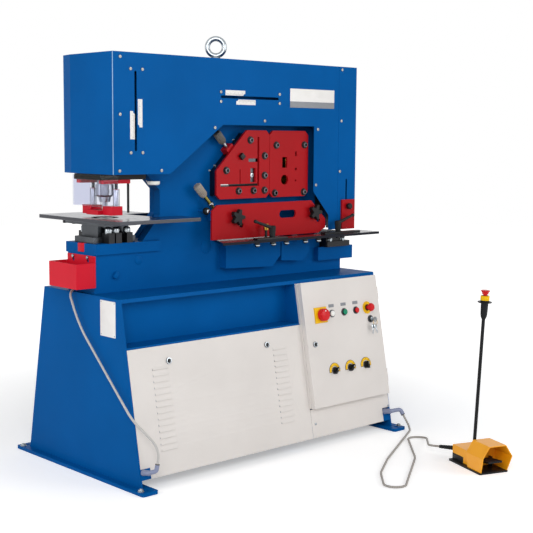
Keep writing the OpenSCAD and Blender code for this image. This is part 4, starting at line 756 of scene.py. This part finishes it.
# Punching station
def dress_punch():
    """Stripper sleeves and rods, clamp nuts, table bolts, slug box screws, the nose's chute and the lamp."""
    sleeve = turned([(14.3, 366), (14.3, 436), (13.4, 438.4), (7.3, 438.4)], 40)
    rod = turned([(7.3, 438), (7.3, 477)], 24)
    guide = turned([(5.4, 334.5), (5.4, 477.5)], 20)
    posts = [on_frame(PUNCH_X, y, 0) for y in (-84, 84)]
    piece("stripper_sleeves", many(sleeve, posts), bare_steel)
    piece("stripper_rods", joined(many(rod, posts), moved(guide, on_frame(-548, -64, 0))), black_oxide)
    nut = turned([(15.6, 249), (16.2, 251), (16.2, 268), (15, 273), (12, 276.6), (7, 278.6), (0, 279.2)], 32)
    places = [on_frame(PUNCH_X + x, y, 0) for x in (-45, -8, 49) for y in (-90, 90)]
    piece("clamp_nuts", many(nut, places), zinc)
    ways_down = (1, 0, 0), (0, -1, 0), (0, 0, -1)
    down = [placed((-720, y, BASE_H + TABLE_UNDER), *ways_down) for y in (190, 118)]
    piece("table_bolts", many(hex_bolt(10, 12, 12), down), black_oxide)
    head = turned([(7.3, -0.4), (7.3, 4.2), (6, 5.6), (0, 5.8)], 24)
    piece("slug_box_screws", many(head, [facing_left(-757, y, 152) for y in (-61, 48)]), zinc)
    chute = joined(
        moved(block((-749.6, -24.6, 172.6), (-742, 24.6, 209.4), 0.8), on_frame(0, 0, 0)),
        moved(block((-743, -24.6, 205), (-652, 24.6, 209.4), 0.8), on_frame(0, 0, 0)),
    )
    piece("slug_chute", chute, bright_red)
    puck = turned([(0, 0), (21, 0), (25.4, 2.6), (27, 6), (27, 15), (25.6, 16.6), (0, 16.6)], 40)
    piece("throat_lamp", moved(puck, on_frame(-461, -131, 454)), lamp_white)
    arm = joined(
        block((-466, -136, 469.6), (-408, -112, 473.6), 1.0),
        block((-444, -116, 469.6), (-408, -99.6, 473.6), 1.0),
    )
    piece("throat_lamp_arm", moved(arm, on_frame(0, 0, 0)), blue)


dress_punch()


# Cutting stations
def dress_stations():
    """Screws of the station plates, liners, clamp ball, slot bushes, and the feed table's screws and pin."""
    bolts = [(70, 649), (-76, 512), (-1, 417), (91, 417), (160, 417), (160, 486), (160, 577),
             (234, 626), (419, 628), (226, 402), (417, 402)]
    places = [facing_front(x, PLATE_Y, z) for x, z in bolts]
    washer = turned([(17.5, 0), (17.5, 2), (16.4, 2.8), (0, 2.8)], 36)
    diamond = moved(block((-12, -12, 0), (12, 12, 16), 1.6), spun(facing_front(13, PLATE_Y, 575), 45))
    piece("plate_screw_washers", joined(many(washer, places), diamond), black_oxide, node="plate_bolts")
    piece("plate_screws", many(socket_head(13.4, 12, 7.4), places), burnished, node="plate_bolts")
    liner = turned([(23.2, 0), (24.8, 0), (24.8, 44), (23.2, 44)], 48, bored=True)
    edge_strip = block((307.2, -151, 519), (308.8, -108, 571), 0.4)
    bars = joined(moved(liner, facing_front(291, -108, 463)), moved(edge_strip, on_frame(0, 0, 0)))
    piece("bar_blades", bars, brass)
    piece("window_screw", moved(socket_head(11, 6, 5), facing_front(88, -152, 488)), zinc)
    place = facing_front(-183, FRAME_Y, 331)
    round_side = [(17 * math.sin(a), 52 - 17 * math.cos(a)) for a in np.linspace(0.5, math.pi - 0.62, 14)]
    piece("clamp_ball", moved(turned([(5, 36), *round_side, (9.4, 66), (0, 66)], 32), place), black_plastic)
    piece("clamp_ball_stud", moved(turned([(5, 0), (5, 38), (0, 38)], 20), place), blue)
    insert = turned([(8.6, 65.5), (8.6, 67.4), (7.6, 68.4), (0, 68.6)], 28)
    piece("clamp_ball_insert", moved(insert, place), zinc)
    bush = turned([(6.4, -8), (6.4, -1.6), (5.6, -0.8), (3, -0.7), (0, -0.9)], 28)
    slot_end = 34.6
    knobs = ((-38, 300), (462, 304))
    ends = [facing_front(x + slot_end, HOLD_DOWN_Y, z - slot_end) for x, z in knobs]
    piece("slot_bushes", many(bush, ends), brass, "hold_down_plate")
    places = [facing_front(x, -143.8, 158) for x in (624, 714)]
    piece("die_bolts", many(hex_bolt(10.5, 8, 12.5), places), zinc)
    hanging = [on_frame(x, -200, FEED_UNDER + 0.4) for x in (83, 185, 270, 397, 486)]
    body = turned([(0, 0), (13, 0), (13, -17), (9, -17.4), (9, -28), (7.4, -30), (0, -30)][::-1], 28)
    piece("table_screws", many(body, hanging), black_oxide)
    washer = turned([(9.2, -24), (14, -24), (14.6, -22), (14.6, -19), (9.2, -19)], 32, bored=True)
    piece("table_screw_washers", many(washer, hanging), zinc)
    lug = slab(rounded_rect(20, 30, 5), 14, 2)
    piece("frame_lug", moved(lug, spun(facing_front(-645, FRAME_Y, 73), -30)), blue)
    place = on_frame(126, -214, FEED_TOP - 0.2)
    pin = turned([(6, 0), (6, 42), (0, 42)], 20)
    piece("table_pin", moved(pin, place), black_oxide)
    nut = turned([(7, 36), (11.6, 37), (12, 39), (12, 64), (10.8, 66.4), (0, 66.8)], 28)
    piece("table_pin_nut", moved(nut, place), brass)


dress_stations()


def dress_levers():
    """Clamp levers of the stops: a ribbed hub bored for its screw and a rising arm that thins to a ball."""
    rise, arm_z = math.radians(18), 42
    hub = turned([
        (5.6, 0), (14, 0), (14.6, 1), (14.6, 5), (13, 6.2), (13, 8, 1), (15.4, 46, 1), (14.8, 51, 0.4),
        (12, 53), (5.6, 53),
    ], 80, 20, 0.7, bored=True)
    along = np.array([6, 14, 40, 96, 104, 110, 115, 118.5, 120])
    radius = np.array([8.6, 8.8, 7.6, 6.2, 7.6, 8.6, 7.8, 5, 1])
    for name, x, y, way in (("lever_left", 115, -269, -1), ("lever_right", 590, -233, 1)):
        reach = np.array([way * math.cos(rise), 0, math.sin(rise)])
        arm = swept(np.array([0, 0, arm_z]) + along[:, None] * reach, radius, 20)
        place = on_frame(x, y, STOP_TOP + 0.4)
        piece(name + "_grip", moved(joined(hub, arm), place), black_plastic, name, name)


dress_levers()


def dress_spindles():
    """Fluted grips and rods of the hold-down spindles, the lower one's thread and its plated collar."""
    up, low = on_spindle(-37, -131, 607), on_spindle(-106, -140, 316)
    grips = (("spindle_upper", up, 40, 102, dark_grip), ("spindle_lower", low, 112, 179, pale_grip))
    for node, place, neck, end, material in grips:
        profile = [
            (9, neck - 0.6), (13, neck + 1), (16.2, neck + 8, 0.4), (17.4, neck + 11, 1), (18.2, end - 6, 1),
            (17.4, end - 2.4, 0.5), (16, end + 0.2), (9, end + 0.8), (0, end + 0.8),
        ]
        piece(node + "_grip", moved(turned(profile, 96, 16, 1.3), place), material, node, node)
    z, pitch = np.arange(16, 112, 0.75), 3
    profile = np.column_stack([8.1 + 0.25 * np.cos(z / pitch * 2 * math.pi), z])
    thread = moved(turned(profile, 24), low)
    piece("spindle_lower_thread", thread, passivated, "spindle_lower", "spindle_lower")
    for node, place, foot, end in (("spindle_lower", low, -52, 17), ("spindle_upper", up, -10, 41)):
        piece(node + "_rod", moved(turned([(8, foot), (8, end)], 24), place), bare_steel, node, node)
    profile = [(8.8, 53.6), (12.2, 53.6), (13.3, 55), (13.3, 67), (12.2, 68.4), (8.8, 68.4)]
    collar = moved(turned(profile, 36, bored=True), low)
    piece("spindle_lower_collar", collar, zinc, "spindle_lower", "spindle_lower")


dress_spindles()


# Cabinet door, with its controls' places along the machine and down the slope
LAMP, START, STOP, KEY = (409, 176), (492, 176), (575, 176), (671, 228)
MAIN_SWITCH, E_STOP = (337, 176), (656, 171)
SELECTORS = ((382, 444), (491, 444), (600, 444))


def pierced_plate(w, h, shift, hole, t, edge):
    """A rectangular plate with a round hole, as rays from the hole's middle out to the sides and corners."""
    corners = [math.atan2(y, x + shift) for x in (-w / 2, w / 2) for y in (-h / 2, h / 2)]
    a = np.sort(np.concatenate([np.linspace(-math.pi, math.pi, 60, endpoint=False), corners]))
    side = np.where(np.cos(a) > 0, w / 2 + shift, w / 2 - shift) / np.maximum(np.abs(np.cos(a)), 1e-6)
    reach = np.minimum(side, h / 2 / np.maximum(np.abs(np.sin(a)), 1e-6))
    bore = np.full_like(a, hole)
    rows = ((reach, 0), (reach, t - edge), (reach - edge, t), (bore, t), (bore, 0))
    return looped([np.stack([r * np.cos(a), r * np.sin(a), np.full_like(a, z)], -1) for r, z in rows])


def arc_band(r0, r1, first, last, t, edge):
    """A flat band between two radii and two angles, as a slab."""
    a = np.radians(np.linspace(first, last, 40))
    outer = np.column_stack([r1 * np.cos(a), r1 * np.sin(a)])
    inner = np.column_stack([r0 * np.cos(a), r0 * np.sin(a)])[::-1]
    return slab(np.concatenate([outer, inner]), t, edge)


def dress_door():
    """Bezels, lamp lens, caps, yellow plates with plain marks, bare legend plates, knob marks and keys."""
    ride = "cabinet_door"
    bezel = turned([(18, 0), (18, 3.4), (16.8, 5.2), (14.6, 5.3), (14, 4.6), (14, 1.4)], 40, bored=True)
    spots = [on_door(*p) for p in (LAMP, START, STOP, KEY, *SELECTORS)]
    piece("plated_bezels", many(bezel, spots), burnished, ride)
    dome = [(13.6 * math.cos(a), 7 + 5.5 * math.sin(a)) for a in np.linspace(0, math.pi / 2, 8)]
    piece("lamp_lens", moved(turned([(13.6, 1.5), *dome], 32), on_door(*LAMP)), lamp_white, ride)
    cap = turned([
        (8.6, -30), (8.6, 6), (10.8, 6.2), (10.8, 9.6), (13, 9.8), (13.2, 11.4), (12.4, 12.6), (8, 13),
        (0, 12.8),
    ], 32)
    piece("start_cap", moved(cap, on_door(*START)), signal_green, "start_button", "start_button")
    piece("stop_cap", moved(cap, on_door(*STOP)), signal_red, "stop_button", "stop_button")
    knob = turned([
        (8.6, -30), (8.6, 4.6), (28, 4.7), (29.4, 6), (30, 12), (29.4, 26), (27.4, 30.4), (23, 32.4), (0, 33),
    ], 72)
    piece("main_switch_knob", moved(knob, on_door(*MAIN_SWITCH)), signal_red, "main_switch", "main_switch")
    switch_plate = pierced_plate(80.4, 74.4, -6, 9.6, 4.25, 1.0)
    disc = turned([(30.3, 0), (30.3, 1.6), (29.4, 2.3), (10.4, 2.3), (10.4, 0)], 48, bored=True)
    plates = [moved(switch_plate, on_door(*MAIN_SWITCH)), moved(disc, on_door(*E_STOP))]
    plates += [moved(arc_band(21.7, 34.6, -13, 193, 1.95, 0.4), on_door(*p)) for p in SELECTORS]
    backs = [moved(arc_band(21.4, 36, -14.5, 194.5, 1.7, 0.3), on_door(*p)) for p in SELECTORS]
    piece("arc_backs", joined(*backs), tick_black, ride)
    piece("yellow_plates", joined(*plates), signal_yellow, ride)
    mark = block((25, -0.8, 1.8), (32, 0.8, 2.1), 0.1)
    settings = ((45, 135), (45, 135), (45, 90, 135))
    places = [spun(on_door(*p), a) for p, angles in zip(SELECTORS, settings) for a in angles]
    piece("arc_marks", many(mark, places), tick_black, ride)
    legend = slab(rounded_rect(36, 15, 1.5), 0.8, 0.3)
    places = [on_door(p[0], 139) for p in (LAMP, START, STOP)]
    piece("legend_plates", many(legend, places), label_grey, ride)
    dot = turned([(3.4, 31.6), (3.4, 33.2), (0, 33.3)], 20)
    place = spun(on_door(*MAIN_SWITCH), 90) @ shifted(18, 0, 0)
    piece("main_switch_mark", moved(dot, place), label_white, "main_switch")
    for i, (p, a) in enumerate(zip(SELECTORS, (-45, -45, 0))):
        line = moved(block((-0.9, 3, 23.0), (0.9, 16, 23.3), 0.1), spun(on_door(*p), a))
        piece(f"selector_{i + 1}_mark", line, label_white, f"selector_{i + 1}")
    key = on_door(*KEY)
    ring = placed((0, -17, 30), (0, 1, 0), (0, 0, 1), (1, 0, 0))
    piece("key_ring", moved(hoop(13, 1.1), key @ ring), brass, ride)
    tag = joined(slab(rounded_rect(20, 22, 8), 2, 0.5), block((-3.6, -36, 0.2), (3.6, -9, 1.8), 0.5))
    for name, turn, x, out in (("spare_key", 16, 2, 25), ("long_key", -10, -9, 20)):
        piece(name, moved(tag, spun(key @ shifted(x, -37, out), turn)), zinc, ride)


dress_door()


# Foot pedal
def dress_pedal():
    """The post with its tapered handle, wide washer and yellow ring, its red cap and the treadle's ribs."""
    top = POST_H
    handle = [
        (0, -19), (9, -19), (9, 6), (7.6, 9), (7.6, top - 14), (9.6, top - 9), (13, top - 2), (14.6, top + 8),
        (15.4, top + 24), (16.4, top + 60.8), (30, top + 61), (31, top + 62), (31, top + 64), (30, top + 65),
        (19, top + 65.2), (18.8, top + 90.8), (9.2, top + 90.8), (9.2, top + 41), (0, top + 41),
    ]
    piece("pedal_post_handle", moved(turned(handle, 40), on_post()), cast_black, node="pedal_post")
    ring = [(15, 91.2), (18.8, 91.2), (19.4, 90.4), (19.4, 71.6), (18.7, 71), (15, 71)]
    lift = on_post() @ shifted(0, 0, top)
    piece("pedal_post_ring", moved(turned(ring, 40, bored=True), lift), signal_yellow, node="pedal_post")
    cap = [
        (8.6, 51), (8.6, 97.4), (13.2, 97.8), (13.8, 102), (15.2, 106), (19.2, 111), (20, 112.6),
        (19.6, 113.8), (17.4, 114.6), (0, 114.9),
    ]
    piece("pedal_stop_cap", moved(turned(cap, 40), lift), signal_red, "pedal_stop", "pedal_stop")
    back_y, back_z, half_w = -25, 46, 31
    ribs = []
    for y in np.arange(-112, -34, 9.0):
        # The treadle rises 10 mm over 96 mm towards its front
        z = back_z - (y - back_y) * 10 / 96
        rib = block((-half_w, y - 1.8, z - 1), (half_w, y + 1.8, z + 1.4), 0.6)
        ribs.append(moved(rib, on_pedal(0, 0, 0)))
    piece("treadle_ribs", joined(*ribs), black_plastic, "treadle")


dress_pedal()


# Floor, world and lights
def light(name, size, power, place, aim):
    """A square white area lamp at a place, turned so that it shines at its aim, in metres."""
    data = bpy.data.lights.new(name, "AREA")
    data.size = size
    data.energy = power
    lamp = bpy.data.objects.new(name, data)
    out = unit(np.asarray(place, float) - np.asarray(aim, float))
    across = unit(np.cross((0, 0, 1), out))
    lamp.matrix_world = Matrix(placed(place, across, np.cross(out, across), out).tolist())
    scene.collection.objects.link(lamp)


def background_rays(tree):
    """One for rays that come from the camera, a gloss or a clear sheet, none for the rest."""
    path = add(tree, "ShaderNodeLightPath").outputs
    either = {"operation": "MAXIMUM"}
    seen = add(tree, "ShaderNodeMath", either, in0=path["Is Camera Ray"], in1=path["Is Glossy Ray"])
    return add(tree, "ShaderNodeMath", either, in0=seen, in1=path["Is Transmission Ray"])


def lay_floor():
    """A white floor that keeps the shadow, with a glow for the camera that rises away from the machine:
    painted shade round the machine, and far off a floor that meets the white behind.
    """
    mat, tree = start("white_studio_floor")
    where = add(tree, "ShaderNodeTexCoord").outputs["Object"]
    cloud = add(tree, "ShaderNodeTexNoise", Vector=where, Scale=per_metre(2000), Detail=2.0)
    tone = two_tone(tree, cloud, 0.0, "#F4F4F4", 1.0, "#F8F8F8")
    far = add(tree, "ShaderNodeVectorMath", {"operation": "LENGTH"}, in0=where).outputs["Value"]
    # Painted shade: the camera's glow is 0.36 within 1 m of the machine's middle and rises to 0.8 by 3.2 m
    rise = add(tree, "ShaderNodeMapRange", Value=far, From_Min=1.0, From_Max=3.2, To_Min=0.36, To_Max=0.8)
    glow = add(tree, "ShaderNodeMath", {"operation": "MULTIPLY"}, in0=background_rays(tree), in1=rise)
    surfaced(mat, Base_Color=tone, Roughness=0.9, Specular_IOR_Level=0.1, Emission_Color=(1, 1, 1, 1),
             Emission_Strength=glow)
    half = 12000
    corners = [(-half, -half, 0), (half, -half, 0), (half, half, 0), (-half, half, 0)]
    piece("floor", (corners, [(0, 1, 2, 3)]), mat, body=None)


def light_scene():
    """A world that is white behind the object and lights it mostly from low down, and three soft lamps."""
    world = bpy.data.worlds.new("studio")
    world.use_nodes = True
    scene.world = world
    tree = world.node_tree
    tree.nodes.clear()
    where = add(tree, "ShaderNodeTexCoord").outputs["Generated"]
    height = add(tree, "ShaderNodeSeparateXYZ", Vector=where).outputs["Z"]
    sky = add(tree, "ShaderNodeMapRange", Value=height, To_Min=0.7, To_Max=0.2)
    level = add(tree, "ShaderNodeMath", {"operation": "MAXIMUM"}, in0=sky, in1=background_rays(tree))
    back = add(tree, "ShaderNodeBackground", Color=(1, 1, 1, 1), Strength=level)
    add(tree, "ShaderNodeOutputWorld", Surface=back)
    light("key_lamp", 2.6, 106, (-3.6, -3.6, 3.0), (0, 0, 0.9))
    light("front_lamp", 2.4, 68, (2.4, -4.4, 2.2), (0, 0, 0.8))
    light("left_lamp", 2.0, 35, (-4.4, 0.6, 1.9), (0, 0, 0.8))


lay_floor()
light_scene()
